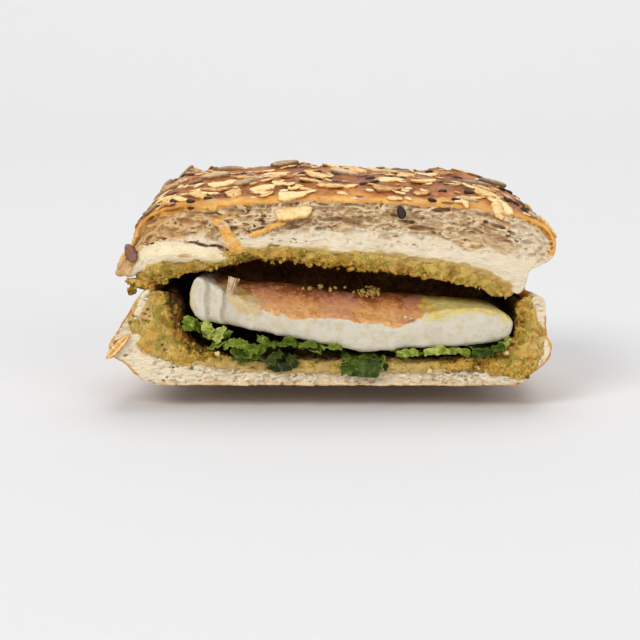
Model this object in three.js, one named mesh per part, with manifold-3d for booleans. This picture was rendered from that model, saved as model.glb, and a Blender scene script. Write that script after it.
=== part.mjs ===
// Half of a seeded panini, cut across and lying on its flat base: two halves of a roll with pesto on both
// inner faces, a slab of browned white cheese and a few green leaves between them.
// Millimetres, +Z up. X runs along the cut face, which looks towards -Y. The origin is under the middle.

import * as THREE from "three";
import { mergeVertices } from "three/addons/utils/BufferGeometryUtils.js";
import Module from "manifold-3d";

const wasm = await Module();
wasm.setup();

const { smoothstep, lerp } = THREE.MathUtils;

// Driving sizes of the half
const halfWidth = 64.5;
const cutY = -32;
const backY = 33.4;
const planCornerRadius = 20;
const crustTurnDepth = 13;
const crustTurnPower = 2.4;
const leftTaper = 0.0022;
const rightTaper = 0.0006;
const pocketEndY = 22;
const seamTopZ = 29.75;
const seamBottomZ = 29.1;
const settleDepth = 30;
const wallLean = 3.6;
const wallLeanDepth = 12;
const clearance = 0.35;
const samplesPerPoint = 2;

// The depths at which the outlines are drawn. The breads start in front of the cut, which then trims them.
const breadDepths = [-36, -32, -27, -20, -10, 2, 10, 16, 20, 23.5, 26.5, 29, 31, 32.6, 33.4];
const pestoDepths = [-31.6, -27, -20, -10, 2, 10, 16];
const cheeseDepths = [-31.2, -28, -24, -18, -6, 5, 8.5, 11, 12.6];

// Outlines on the cut face as [x, z], each a smooth line through its points.
// The top bread runs over the crust from its left end to its right end, then back along the pocket's ceiling.
const topCrust = [
  [-60.2, 37], [-57, 41.2], [-55, 46.2], [-51, 50.2], [-44.5, 52.2], [-28, 53.2], [-8, 54.3], [12, 53.8],
  [32, 52.8], [47, 51.2], [57.4, 48.7], [62.7, 45.4], [64.5, 41.4], [63.4, 37.6], [59.6, 35],
];
const topLip = [[56.8, 33.4], [56, 29.6], [54, 27]];
const ceiling = [
  [50.6, 28.8], [45.5, 31.6], [38, 34.3], [24, 36.8], [8, 38.2], [-8, 39.6], [-22, 39.8], [-34, 37.6],
  [-45, 36], [-51.5, 34.4],
];
const topHeel = [[-55.6, 33.2], [-59.5, 34.4]];

// The bottom bread runs down its left side, along the base, up its right side and back along the floor.
const baseLine = [
  [-57.6, 22.2], [-61.2, 16.4], [-63.8, 11.4], [-62.8, 8.4], [-59.4, 6.6], [-56, 2.8], [-51.5, 0.5], [-46, 0],
  [-14, 0], [18, 0], [50, 0], [55.4, 0.6], [57.6, 3.2], [60.8, 5.2], [63.4, 8.6], [64.1, 11.6], [62.6, 15],
  [62.2, 20],
];
const rightRim = [[61.4, 25.6], [58.6, 26.3]];
const pocketFloor = [
  [57.4, 24], [58.6, 19], [58.2, 13.5], [54.5, 8.8], [46, 6.4], [32, 5.2], [14, 4.7], [-8, 4.7], [-24, 5.2],
  [-36, 6.8], [-45, 10.4], [-49.8, 17], [-51, 22.6], [-51, 26.4],
];
const leftRim = [[-51.8, 28.4], [-54.2, 27]];

// How thick the pesto lies at each point of the ceiling and of the floor
const ceilingPesto = [2.6, 3.6, 4.2, 4.4, 4.2, 3.6, 3, 3, 4.4, 5.2];
const floorPesto = [2.6, 3.6, 3.8, 3, 2.4, 2.2, 2.2, 2.2, 2.4, 3.2, 4.6, 5.6, 5, 3.4];

// The cheese: its underside from left to right, then its top from right to left, at the cut and deeper in
const cheeseUnder = [
  [-40.6, 23.4], [-38.6, 19.8], [-31, 17.6], [-19, 15.4], [-8, 13.2], [2, 11.2], [10, 9.8], [20, 10.8],
  [34, 11.2], [46, 12.6], [51.6, 14.2],
];
const cheeseTopAtCut = [
  [52.8, 18.4], [49.5, 21.6], [38, 22.6], [29, 21.2], [22, 17.6], [10, 19], [-2, 20.6], [-12, 20.4],
  [-24, 24.2], [-33, 28.6], [-38.4, 31.4],
];
const cheeseTopInside = [
  [52.2, 18.6], [48.6, 21.6], [38, 23.4], [30, 24.6], [22, 25.4], [10, 26], [-2, 26.8], [-12, 27.6],
  [-24, 29], [-33, 30.4], [-38, 31.2],
];
const cheeseBackY = 13;
const cheeseBackRadius = 8;
const cheeseBevelDepth = 12;
const cheeseSlope = 0.22;
const cheeseMiddleZ = 17;

// Repeatable random numbers from 0 to 1
function randomFrom(seed) {
  let state = seed;
  return () => {
    state = (state * 16807) % 2147483647;
    return state / 2147483647;
  };
}

// How much of its width the roll keeps at depth y, as it rounds off towards its uncut end
function planScale(y) {
  const t = THREE.MathUtils.clamp((y - (backY - planCornerRadius)) / planCornerRadius, 0, 1);
  return 1 - (planCornerRadius / halfWidth) * (1 - Math.sqrt(1 - t * t));
}

// Where the x of a point on the cut face comes to lie at depth y. The roll narrows most on its left.
function narrowed(x, y) {
  const depth = Math.max(y - cutY, 0);
  return x * planScale(y) * (1 - (x < 0 ? leftTaper : rightTaper) * depth);
}

// How much of its height the crust keeps at depth y
function crustScale(y) {
  const t = THREE.MathUtils.clamp((y - (backY - crustTurnDepth)) / crustTurnDepth, 0, 0.997);
  return (1 - t ** crustTurnPower) ** (1 / crustTurnPower);
}

// The knife pressed the crust down along the cut, so its top rises behind it, slowly at the left shoulder
function rise(x, y, z) {
  const depth = Math.max(y - cutY, 0);
  const middle = smoothstep(x, -54, -34);
  const height = lerp(6.4, 4.3, middle);
  const reach = lerp(24, 8, middle);
  return height * (1 - Math.exp(-depth / reach)) * smoothstep(z, 38, 50) * (1 - smoothstep(x, 42, 66));
}

// How open the pocket is at depth y: 1 for most of the way, 0 at its closed end
function pocketOpenness(y) {
  const t = THREE.MathUtils.clamp(y / pocketEndY, 0, 1);
  return (1 - t ** 3) ** (1 / 3);
}

// The ends of both breads settle to the seam within the first part of the depth
function settled(y) {
  return smoothstep(y, cutY, cutY + settleDepth);
}

// The slow swell of the baked and pressed bread, none at the cut face or the base
function swell(x, y, z) {
  const fade = smoothstep(y, cutY, cutY + 18) * smoothstep(z, 1, 10);
  const sideways = 0.7 * Math.sin(0.17 * y + 0.11 * z) + 0.4 * Math.sin(0.31 * y + 0.05 * x);
  const upwards = 0.55 * Math.sin(0.12 * x + 0.16 * y) + 0.4 * Math.sin(0.23 * x - 0.13 * y + 2);
  return [x + fade * sideways, z + fade * upwards];
}

// The cut is not a plane: it was sawn through soft bread, and the crumb above the pocket bulges forward
function cutFaceY(x, z) {
  const saw = 0.35 * Math.sin(0.31 * x + 0.42 * z) + 0.25 * Math.sin(0.63 * x - 0.27 * z + 1.3);
  const crumbZ = 41 - 0.0022 * x * x - 0.02 * x;
  const bulge = 0.8 * Math.exp(-(((z - crumbZ) / 4.5) ** 2));
  return cutY + saw - bulge;
}

// A closed smooth outline with the same number of samples whatever the depth
function smoothOutline(points) {
  const corners = points.map(([x, z]) => new THREE.Vector3(x, 0, z));
  const curve = new THREE.CatmullRomCurve3(corners, true, "centripetal");
  const samples = curve.getPoints(points.length * samplesPerPoint).slice(0, -1);
  return samples.map((p) => [p.x, Math.max(p.z, 0)]);
}

function crustAt(y) {
  return topCrust.map(([x, z]) => {
    const height = z + rise(x, y, z) - seamTopZ;
    return [narrowed(x, y), seamTopZ + height * crustScale(y)];
  });
}

function towardsSeam(points, y, seamZ) {
  return points.map(([x, z]) => [narrowed(x, y), lerp(z, seamZ, settled(y))]);
}

function ceilingAt(y) {
  return ceiling.map(([x, z]) => [narrowed(x, y), lerp(seamTopZ, z, pocketOpenness(y))]);
}

// The right wall of the bottom bread leans in behind the cut
function leaningIn(x, y, z) {
  return x > 0 ? wallLean * smoothstep(y, cutY, cutY + wallLeanDepth) * smoothstep(z, 8, 24) : 0;
}

// The floor's bowl flattens out to a plain line where the pocket closes
function floorAt(y) {
  const open = pocketOpenness(y);
  return pocketFloor.map(([x, z], i) => {
    const closedX = lerp(53.4, -50.8, i / (pocketFloor.length - 1));
    return [narrowed(lerp(closedX, x - 0.5 * leaningIn(x, y, z), open), y), lerp(seamBottomZ, z, open)];
  });
}

function topBreadOutline(y) {
  const lip = towardsSeam(topLip, y, seamTopZ);
  const heel = towardsSeam(topHeel, y, seamTopZ);
  return smoothOutline([...crustAt(y), ...lip, ...ceilingAt(y), ...heel]);
}

function bottomBreadOutline(y) {
  const leaned = ([x, z]) => [x - leaningIn(x, y, z), z];
  const base = baseLine.map(leaned).map(([x, z]) => [
    narrowed(x, y),
    seamBottomZ + (z - seamBottomZ) * crustScale(y),
  ]);
  const right = towardsSeam(rightRim.map(leaned), y, seamBottomZ);
  const left = towardsSeam(leftRim, y, seamBottomZ);
  return smoothOutline([...base, ...right, ...floorAt(y), ...left]);
}

// The samples of an outline that run along some of its points
function stretchOf(outline, firstPoint, pointCount) {
  const lastPoint = firstPoint + pointCount - 1;
  return outline.slice(firstPoint * samplesPerPoint, lastPoint * samplesPerPoint + 1);
}

// A layer of the given thicknesses along a line. Side is 1 for the left of the line, -1 for its right.
function layerAlong(line, thicknesses, side) {
  const shifted = (amount) =>
    line.map(([x, z], i) => {
      const before = line[Math.max(i - 1, 0)];
      const after = line[Math.min(i + 1, line.length - 1)];
      const along = new THREE.Vector2(after[0] - before[0], after[1] - before[1]).normalize();
      return [x - side * along.y * amount(i), z + side * along.x * amount(i)];
    });
  const thickness = (i) => {
    const point = i / samplesPerPoint;
    const low = Math.floor(point);
    return lerp(thicknesses[low], thicknesses[Math.min(low + 1, thicknesses.length - 1)], point - low);
  };
  return [...shifted(() => clearance), ...shifted(thickness).reverse()];
}

function topPestoOutline(y) {
  const line = stretchOf(topBreadOutline(y), topCrust.length + topLip.length, ceiling.length);
  return layerAlong(line, ceilingPesto, 1);
}

function bottomPestoOutline(y) {
  const line = stretchOf(bottomBreadOutline(y), baseLine.length + rightRim.length, pocketFloor.length);
  return layerAlong(line, floorPesto, -1);
}

function cheeseOutline(y) {
  const inwards = smoothstep(y, cutY, cutY + cheeseBevelDepth);
  const top = cheeseTopAtCut.map(([x, z], i) => [
    lerp(x, cheeseTopInside[i][0], inwards),
    lerp(z, cheeseTopInside[i][1], inwards),
  ]);
  const t = THREE.MathUtils.clamp((y - cheeseBackY + cheeseBackRadius) / cheeseBackRadius, 0, 0.98);
  const round = Math.sqrt(1 - t * t);
  const slope = cheeseSlope * Math.max(y - cutY - cheeseBevelDepth, 0);
  const lowered = top.map(([x, z]) => [x, z - slope * smoothstep(z, 18, 27)]);
  return smoothOutline([...cheeseUnder, ...lowered]).map(([x, z]) => [
    narrowed(x, y) * lerp(0.9, 1, round),
    lerp(cheeseMiddleZ, z, round),
  ]);
}

// Any closed set of triangles as a solid that faces outwards
function solidOf(positions, triangles) {
  const mesh = {
    numProp: 3,
    vertProperties: new Float32Array(positions),
    triVerts: new Uint32Array(triangles),
  };
  const made = new wasm.Manifold(new wasm.Mesh(mesh));
  if (made.volume() > 0) return made;
  mesh.triVerts.reverse();
  return new wasm.Manifold(new wasm.Mesh(mesh));
}

function solidFrom(geometry) {
  const bare = geometry.clone();
  bare.deleteAttribute("normal");
  bare.deleteAttribute("uv");
  const merged = mergeVertices(bare, 1e-4);
  return solidOf(merged.attributes.position.array, merged.index.array);
}

function geometryOf(solid) {
  const mesh = solid.getMesh();
  const geometry = new THREE.BufferGeometry();
  geometry.setAttribute("position", new THREE.BufferAttribute(mesh.vertProperties, mesh.numProp));
  geometry.setIndex(new THREE.BufferAttribute(mesh.triVerts, 1));
  geometry.computeVertexNormals();
  return geometry;
}

// The outlines at each depth joined into one solid, closed at both ends
function loft(outlineAt, depths) {
  const rings = depths.map((y) =>
    outlineAt(y).map(([x, z]) => {
      const [sx, sz] = swell(x, y, z);
      return [sx, y, sz];
    }),
  );
  const count = rings[0].length;
  const triangles = [];
  for (let r = 0; r + 1 < rings.length; r++) {
    for (let i = 0; i < count; i++) {
      const a = r * count + i;
      const b = r * count + ((i + 1) % count);
      triangles.push(a, b, b + count, a, b + count, a + count);
    }
  }
  // A cap's outline is bent by a hair so that no three points of the flat base are in line
  const cap = (ring, first, sameTurn) => {
    const contour = ring.map(([x, , z]) => new THREE.Vector2(x, z + 1e-6 * x * x));
    const turn = Math.sign(THREE.ShapeUtils.area(contour)) * (sameTurn ? 1 : -1);
    for (const face of THREE.ShapeUtils.triangulateShape(contour, [])) {
      const facing = Math.sign(THREE.ShapeUtils.area(face.map((i) => contour[i])));
      const corners = facing === turn ? face : [face[0], face[2], face[1]];
      triangles.push(...corners.map((i) => first + i));
    }
  };
  cap(rings[0], 0, false);
  cap(rings.at(-1), (rings.length - 1) * count, true);
  return solidOf(rings.flat(2), triangles);
}

// A block that fills everything behind the sawn face, with that face as its front
function behindTheCut(shift) {
  const columns = 28;
  const rows = 14;
  const [sideX, lowZ, highZ, farY] = [75, -4, 66, 80];
  const at = (i, j) => [lerp(-sideX, sideX, i / columns), lerp(lowZ, highZ, j / rows)];
  const positions = [];
  const triangles = [];
  for (const side of [0, 1]) {
    for (let j = 0; j <= rows; j++) {
      for (let i = 0; i <= columns; i++) {
        const [x, z] = at(i, j);
        positions.push(x, side ? farY : cutFaceY(x, z) + shift, z);
      }
    }
  }
  const layer = (columns + 1) * (rows + 1);
  const quad = (a, b, c, d) => triangles.push(a, b, c, a, c, d);
  for (let j = 0; j < rows; j++) {
    for (let i = 0; i < columns; i++) {
      const a = j * (columns + 1) + i;
      const up = a + columns + 1;
      quad(a, a + 1, up + 1, up);
      quad(layer + a, layer + up, layer + up + 1, layer + a + 1);
    }
  }
  for (let i = 0; i < columns; i++) {
    const top = rows * (columns + 1) + i;
    quad(i, layer + i, layer + i + 1, i + 1);
    quad(top, top + 1, layer + top + 1, layer + top);
  }
  for (let j = 0; j < rows; j++) {
    const left = j * (columns + 1);
    const right = left + columns;
    quad(left, left + columns + 1, layer + left + columns + 1, layer + left);
    quad(right, layer + right, layer + right + columns + 1, right + columns + 1);
  }
  return solidOf(positions, triangles);
}

// A squashed ball of few faces, turned and moved into place
function lump(sizes, position, turn = [0, 0, 0], around = 6, rings = 3) {
  const geometry = new THREE.SphereGeometry(1, around, rings);
  const place = new THREE.Matrix4().compose(
    new THREE.Vector3(...position),
    new THREE.Quaternion().setFromEuler(new THREE.Euler(...turn, "ZYX")),
    new THREE.Vector3(...sizes),
  );
  return solidFrom(geometry.applyMatrix4(place));
}

// The open cells of the crumb that show on the cut face of the top bread
const crumbCellCount = 38;

function crumbCells() {
  const random = randomFrom(77);
  const cells = [];
  for (let i = 0; i < crumbCellCount; i++) {
    const x = lerp(-50, 58, random());
    const share = random() ** 1.4;
    const size = 0.7 + 1.5 * random() ** 2;
    const roofZ = 49.2 - 0.0011 * x * x;
    const z = roofZ - 9 * share;
    const tilt = 0.25 * (random() - 0.5) - 0.004 * x;
    cells.push({ x, z, wide: 2.1 * size, high: 0.8 * size, deep: 1.4 * size, tilt });
  }
  return cells;
}

// The seeds on the crust. Sizes are half lengths, along, across and through.
const seedKinds = {
  oat: [4.5, 2.7, 0.75],
  sunflower: [4.8, 2.3, 1.2],
  blackSesame: [1.75, 1.1, 0.6],
  brownFlax: [2.3, 1.25, 0.65],
  paleSesame: [1.6, 1, 0.55],
};

// The ones that stand out, as kind, x, y and turn in degrees
const mainSeeds = [
  ["blackSesame", -11.3, -26, 10], ["blackSesame", 10, -19, 30], ["blackSesame", 13, -16.5, 15],
  ["blackSesame", 22.8, -22, 5], ["blackSesame", 40, -24, -10], ["blackSesame", 2, -4, 0],
  ["blackSesame", 31, 14, 10], ["blackSesame", 39, 8, -15], ["blackSesame", 46.5, 8, -25],
  ["blackSesame", 54, -8, -30], ["blackSesame", -17.3, 26, 0], ["blackSesame", -34.5, 10, 20],
  ["brownFlax", -39.5, -12, 15], ["brownFlax", -45.5, -20, 35], ["blackSesame", 33, -12, 20],
  ["oat", -32.8, -22, 20], ["oat", -19.7, -25, 4], ["oat", -6.2, -19, 60], ["oat", 0.5, -24, -3],
  ["oat", 16.5, -25, 8], ["oat", -12.2, -11, 0], ["oat", -24, -8, -6], ["oat", 45.5, -23.5, -10],
  ["oat", 49.5, -29.5, -60], ["oat", 27.5, -14, 28], ["oat", -27.5, -25.5, 80], ["oat", -10.5, -30.6, 6],
  ["sunflower", -45.5, 20, 12], ["sunflower", -49, 0, 62], ["sunflower", -31, 22, -8],
  ["sunflower", 4.5, -1.5, -12], ["sunflower", -14, 19, 25],
];
const scatteredSeeds = 66;

// A point of the faceted crust: t runs from 0 at its left end to 1 at its right end
function crustPoint(t, y) {
  const next = breadDepths.findIndex((depth) => depth > y);
  const [front, back] = [breadDepths[next - 1], breadDepths[next]].map((depth) => {
    const corners = crustAt(depth).map(([x, z]) => new THREE.Vector3(x, 0, z));
    const p = new THREE.CatmullRomCurve3(corners, false, "centripetal").getPoint(t);
    const [x, z] = swell(p.x, depth, p.z);
    return new THREE.Vector3(x, depth, z);
  });
  return front.lerp(back, (y - front.y) / (back.y - front.y));
}

// The place along the crust where it is over x, found by halving
function crustShareOver(x, y) {
  let low = 0.08;
  let high = 0.92;
  for (let step = 0; step < 18; step++) {
    const middle = (low + high) / 2;
    if (crustPoint(middle, y).x < x) low = middle;
    else high = middle;
  }
  return (low + high) / 2;
}

function seedPlaces() {
  const random = randomFrom(2024);
  const places = mainSeeds.map(([kind, x, y, turn]) => {
    const t = crustShareOver(x, y);
    return { kind, t, y, turn: THREE.MathUtils.degToRad(turn), at: crustPoint(t, y) };
  });
  const kinds = [...Array(6).fill("oat"), "sunflower", "blackSesame", "paleSesame", "brownFlax"];
  for (let tries = 0; tries < 900 && places.length < mainSeeds.length + scatteredSeeds; tries++) {
    const t = lerp(0.14, 0.79, random());
    const y = lerp(-29, 30, random());
    const kind = kinds[Math.floor(random() * kinds.length)];
    const turn = (random() - 0.5) * 2.4;
    const thinner = random() < smoothstep(t, 0.5, 0.85) * 0.55;
    const at = crustPoint(t, y);
    const reach = seedKinds[kind][0];
    const clearOf = (other) => other.at.distanceTo(at) > 0.62 * (reach + seedKinds[other.kind][0]);
    if (!thinner && places.every(clearOf)) places.push({ kind, t, y, turn, at });
  }
  return places;
}

// One seed lying on the crust, sunk a little way into it
function seedSolid({ kind, t, y, turn, at }) {
  const sizes = seedKinds[kind];
  const along = crustPoint(t + 0.004, y).sub(crustPoint(t - 0.004, y)).normalize();
  const deeper = crustPoint(t, y + 0.5).sub(crustPoint(t, y - 0.5)).normalize();
  const normal = along.clone().cross(deeper).normalize();
  const across = normal.clone().cross(along);
  const lengthwise = along.multiplyScalar(Math.cos(turn)).addScaledVector(across, Math.sin(turn));
  const sideways = normal.clone().cross(lengthwise);
  const geometry = new THREE.SphereGeometry(1, sizes[0] > 3 ? 6 : 5, 3).rotateX(Math.PI / 2);
  const place = new THREE.Matrix4().makeBasis(
    lengthwise.multiplyScalar(sizes[0]),
    sideways.multiplyScalar(sizes[1]),
    normal.clone().multiplyScalar(sizes[2]),
  );
  place.setPosition(at.clone().addScaledVector(normal, 0.3 * sizes[2] - 0.2));
  return solidFrom(geometry.applyMatrix4(place));
}

// A thin wavy leaf: a ribbon along its midrib, a face on either side, both split alike
function leafSolid({ midrib, across = [1, 0, 0], width, ruffle, curl }) {
  const lengthSteps = 7;
  const widthSteps = 4;
  const thickness = 0.5;
  const points = midrib.map((p) => new THREE.Vector3(...p));
  const curve = new THREE.CatmullRomCurve3(points, false, "centripetal");
  const positions = [];
  for (const side of [0.5, -0.5]) {
    for (let j = 0; j <= widthSteps; j++) {
      for (let i = 0; i <= lengthSteps; i++) {
        const u = i / lengthSteps;
        const v = (2 * j) / widthSteps - 1;
        const forwards = curve.getTangent(u);
        const normal = forwards.clone().cross(new THREE.Vector3(...across)).normalize();
        const sideways = normal.clone().cross(forwards).normalize();
        const half = (width / 2) * Math.sin(Math.PI * (0.16 + 0.7 * u)) ** 0.6;
        const lift = ruffle * Math.sin(7 * u + 3 * v) * Math.abs(v) + curl * v * v + side * thickness;
        const point = curve.getPoint(u).addScaledVector(sideways, half * v).addScaledVector(normal, lift);
        positions.push(...point.toArray());
      }
    }
  }
  const row = lengthSteps + 1;
  const layer = row * (widthSteps + 1);
  const triangles = [];
  for (let j = 0; j < widthSteps; j++) {
    for (let i = 0; i < lengthSteps; i++) {
      const a = j * row + i;
      triangles.push(a, a + 1, a + 1 + row, a, a + 1 + row, a + row);
      const b = a + layer;
      triangles.push(b, b + 1 + row, b + 1, b, b + row, b + 1 + row);
    }
  }
  const rim = [];
  for (let i = 0; i < lengthSteps; i++) rim.push(i);
  for (let j = 0; j < widthSteps; j++) rim.push(lengthSteps + j * row);
  for (let i = lengthSteps; i > 0; i--) rim.push(widthSteps * row + i);
  for (let j = widthSteps; j > 0; j--) rim.push(j * row);
  rim.forEach((a, k) => {
    const b = rim[(k + 1) % rim.length];
    triangles.push(a, a + layer, b + layer, a, b + layer, b);
  });
  return solidOf(positions, triangles);
}

// The leaves under the cheese, from left to right. Each midrib runs from inside the pocket out to the cut.
const leaves = [
  {
    width: 4.6, ruffle: 0.7, curl: 0.8,
    midrib: [[-39.6, -22, 14.4], [-39.9, -28, 16.2], [-40, -31, 17.2]],
  },
  {
    width: 7.5, ruffle: 0.7, curl: 0.9,
    midrib: [[-34.4, -19, 11.4], [-33.4, -27, 14.2], [-32.6, -31.8, 14]],
  },
  {
    width: 3, ruffle: 0.3, curl: 0.3, across: [0, 1, 0.4],
    midrib: [[-35.2, -30, 11.2], [-31, -31, 12], [-26.4, -31.4, 13]],
  },
  {
    width: 11, ruffle: 0.8, curl: 0.3,
    midrib: [[-23, -16, 8.8], [-23.6, -26, 10.8], [-23.8, -31.4, 10.6], [-23.2, -32.8, 7.6]],
  },
  {
    width: 7, ruffle: 0.4, curl: 0.3, across: [0, 1, 0.15],
    midrib: [[-17.4, -27, 11.8], [-10, -29.6, 11.6], [-2, -30.6, 10.8]],
  },
  {
    width: 8.6, ruffle: 0.5, curl: -0.3,
    midrib: [[-12.8, -20, 8.2], [-13.2, -29, 8.7], [-13.6, -32.8, 7.6], [-13.2, -33.4, 4.6]],
  },
  {
    width: 13, ruffle: 0.3, curl: 0.2,
    midrib: [[8.6, -25, 8.1], [8.8, -30.6, 8], [9.6, -33, 6.4], [9.4, -33.5, 3]],
  },
  { width: 19, ruffle: 0.35, curl: 0.2, midrib: [[29.6, -20, 8.6], [29.8, -27, 9.2], [30, -31.6, 9.8]] },
  { width: 10, ruffle: 0.4, curl: 0.5, midrib: [[45.2, -20, 10.8], [45, -27, 10.6], [45.2, -32, 10]] },
];

// The torn flap of crumb that hangs over the front of the upper pesto
const tongueSizes = [12.2, 3.4, 2.7];
const tonguePlace = [-40.5, cutY + 1.6, 38.7];
const tongueTurn = [0, 0.07, 0];

function topBread() {
  let bread = loft(topBreadOutline, breadDepths).intersect(behindTheCut(0));
  for (const cell of crumbCells()) {
    const y = cutFaceY(cell.x, cell.z) + 0.2 * cell.deep;
    bread = bread.subtract(lump([cell.wide, cell.deep, cell.high], [cell.x, y, cell.z], [0, cell.tilt, 0]));
  }
  const tongue = lump(tongueSizes, tonguePlace, tongueTurn, 12, 6);
  const sideSeed = lump([1.9, 1, 2.8], [-56.8, cutY - 0.1, 38.9], [0, 0.35, 0]);
  return wasm.Manifold.union([bread, tongue, sideSeed, ...seedPlaces().map(seedSolid)]);
}

function topPesto() {
  const tongueRoom = tongueSizes.map((size) => size + clearance);
  const layer = loft(topPestoOutline, pestoDepths);
  const squeezedOut = lump([5.4, 1.9, 1.7], [-53.8, cutY + 1.6, 30.4], [0, -0.22, 0]);
  return layer.subtract(lump(tongueRoom, tonguePlace, tongueTurn, 12, 6)).add(squeezedOut);
}

function bottomBread() {
  const bread = loft(bottomBreadOutline, breadDepths).intersect(behindTheCut(0.2));
  const husk = lump([5, 1.6, 1.9], [-60.8, cutY + 1.2, 11.8], [0, -0.75, 0]);
  return bread.add(husk);
}

const looks = {
  top_bread: { color: 0xc9924f, roughness: 0.6 },
  bottom_bread: { color: 0xd9c3a0, roughness: 0.85 },
  pesto_top: { color: 0x957428, roughness: 0.5 },
  pesto_bottom: { color: 0xa98532, roughness: 0.5 },
  cheese: { color: 0xe4dcc8, roughness: 0.5 },
  leaf: { color: 0x4f6b22, roughness: 0.45 },
};

function named(name, solid, look) {
  const mesh = new THREE.Mesh(geometryOf(solid), new THREE.MeshStandardMaterial({ metalness: 0, ...look }));
  mesh.name = name;
  return mesh;
}

const panini = new THREE.Group();
panini.name = "panini_half";
panini.add(
  named("top_bread", topBread(), looks.top_bread),
  named("bottom_bread", bottomBread(), looks.bottom_bread),
  named("pesto_top", topPesto(), looks.pesto_top),
  named("pesto_bottom", loft(bottomPestoOutline, pestoDepths), looks.pesto_bottom),
  named("cheese", loft(cheeseOutline, cheeseDepths), looks.cheese),
);
leaves.forEach((leaf, i) => panini.add(named(`leaf_${i + 1}`, leafSolid(leaf), looks.leaf)));

export default panini;
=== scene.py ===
# Looks for half of a seeded panini: torn crumb, baked crust with seeds, pesto, browned white cheese, leaves
import math

import bpy
import numpy as np
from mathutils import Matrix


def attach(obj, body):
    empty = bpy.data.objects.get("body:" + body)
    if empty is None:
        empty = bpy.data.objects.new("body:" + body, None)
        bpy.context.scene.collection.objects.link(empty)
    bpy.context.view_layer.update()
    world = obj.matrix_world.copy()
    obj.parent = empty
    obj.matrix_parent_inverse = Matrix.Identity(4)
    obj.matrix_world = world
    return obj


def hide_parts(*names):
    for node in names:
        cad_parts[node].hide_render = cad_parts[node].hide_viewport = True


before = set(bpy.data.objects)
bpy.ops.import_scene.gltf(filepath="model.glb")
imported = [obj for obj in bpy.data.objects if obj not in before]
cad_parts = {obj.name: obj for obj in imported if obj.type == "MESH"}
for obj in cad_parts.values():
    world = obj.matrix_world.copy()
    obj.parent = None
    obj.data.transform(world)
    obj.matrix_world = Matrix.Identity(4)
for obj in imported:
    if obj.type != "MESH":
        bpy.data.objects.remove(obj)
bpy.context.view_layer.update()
print("frame loaded with", len(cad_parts), "nodes")

# All making is in millimetres: X along the cut, Y into the roll, Z up. Meshes are scaled to metres at the end
metre = 0.001


# Camera: the photo's angle, from its 640 x 640 picture
camera = {
    "focalPixels": 1725, "picture": 640, "elevation": 12.8, "distance": 500, "sensor": 36,
    "aimPoint": (0, -32, 0), "aimPixel": (330, 386),
}


def makeCamera():
    data = bpy.data.cameras.new("camera")
    made = bpy.data.objects.new("camera", data)
    bpy.context.scene.collection.objects.link(made)
    focal, middle = camera["focalPixels"], camera["picture"] / 2
    data.sensor_width = camera["sensor"]
    data.lens = focal / camera["picture"] * camera["sensor"]
    data.clip_start, data.clip_end = 0.01, 20
    elevation = math.radians(camera["elevation"])
    back = (0, -math.cos(elevation), math.sin(elevation))
    made.location = [(p + camera["distance"] * b) * metre for p, b in zip(camera["aimPoint"], back)]
    right, down = ((pixel - middle) / focal for pixel in camera["aimPixel"])
    made.rotation_euler = (math.pi / 2 - elevation + math.atan(down), 0, math.atan(right))
    bpy.context.scene.camera = made


makeCamera()
print("camera set")


# Small maths
def smoothstep(value, low, high):
    t = np.clip((value - low) / (high - low), 0, 1)
    return t * t * (3 - 2 * t)


def fading(value, low, high):
    return 1 - smoothstep(value, low, high)


def lerp(a, b, t):
    return a + (b - a) * t


# A centripetal cubic through points, as the solids have it, at places counted in points
def alongCurve(points, where, closed=False):
    p = np.asarray(points, float)
    where = np.asarray(where, float)
    if closed:
        p = np.vstack([p[-1], p, p[0], p[1]])
    else:
        p = np.vstack([2 * p[0] - p[1], p, 2 * p[-1] - p[-2]])
    k = np.clip(np.floor(where).astype(int), 0, len(p) - 4)
    t = (where - k)[..., None]
    before, start, after, beyond = (p[k + step] for step in range(4))
    root = lambda a, b: np.maximum(np.sum((a - b) ** 2, axis=-1, keepdims=True) ** 0.25, 1e-4)
    d0, d1, d2 = root(before, start), root(start, after), root(after, beyond)
    leave = d1 * ((start - before) / d0 - (after - before) / (d0 + d1) + (after - start) / d1)
    arrive = d1 * ((after - start) / d1 - (beyond - start) / (d1 + d2) + (beyond - after) / d2)
    turn = -3 * start + 3 * after - 2 * leave - arrive
    return start + leave * t + turn * t ** 2 + (2 * start - 2 * after + leave + arrive) * t ** 3


curveSteps = 5  # from each point of an outline to the next


def smoothOutline(points):
    line = alongCurve(points, np.arange(len(points) * curveSteps) / curveSteps, closed=True)
    line[:, 1] = np.maximum(line[:, 1], 0)
    return line


# Smooth random numbers from -1 to 1 at points, size is a length or one for each axis
randomTable = np.random.default_rng(11).random(4096)
cellShift = 512.5  # moves the cells off the middle, where all layers of noise would meet


def cellRandom(cell, salt):
    mixed = cell[..., 0] * 73856093 ^ cell[..., 1] * 19349663 ^ cell[..., 2] * 83492791 ^ salt * 40503
    return randomTable[mixed % len(randomTable)]


def noiseAt(points, size, salt):
    p = points / size + cellShift
    cell = np.floor(p).astype(np.int64)
    f = p - cell
    f = f * f * (3 - 2 * f)
    total = np.zeros(p.shape[:-1])
    for corner in np.ndindex(2, 2, 2):
        weight = np.prod(np.where(corner, f, 1 - f), axis=-1)
        total += weight * cellRandom(cell + corner, salt)
    return 2 * total - 1


def roughAt(points, size, salt, octaves=3):
    total = np.zeros(points.shape[:-1])
    for octave in range(octaves):
        total += noiseAt(points, np.asarray(size) / 2 ** octave, salt + octave) / 2 ** octave
    return total / 1.6


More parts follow.
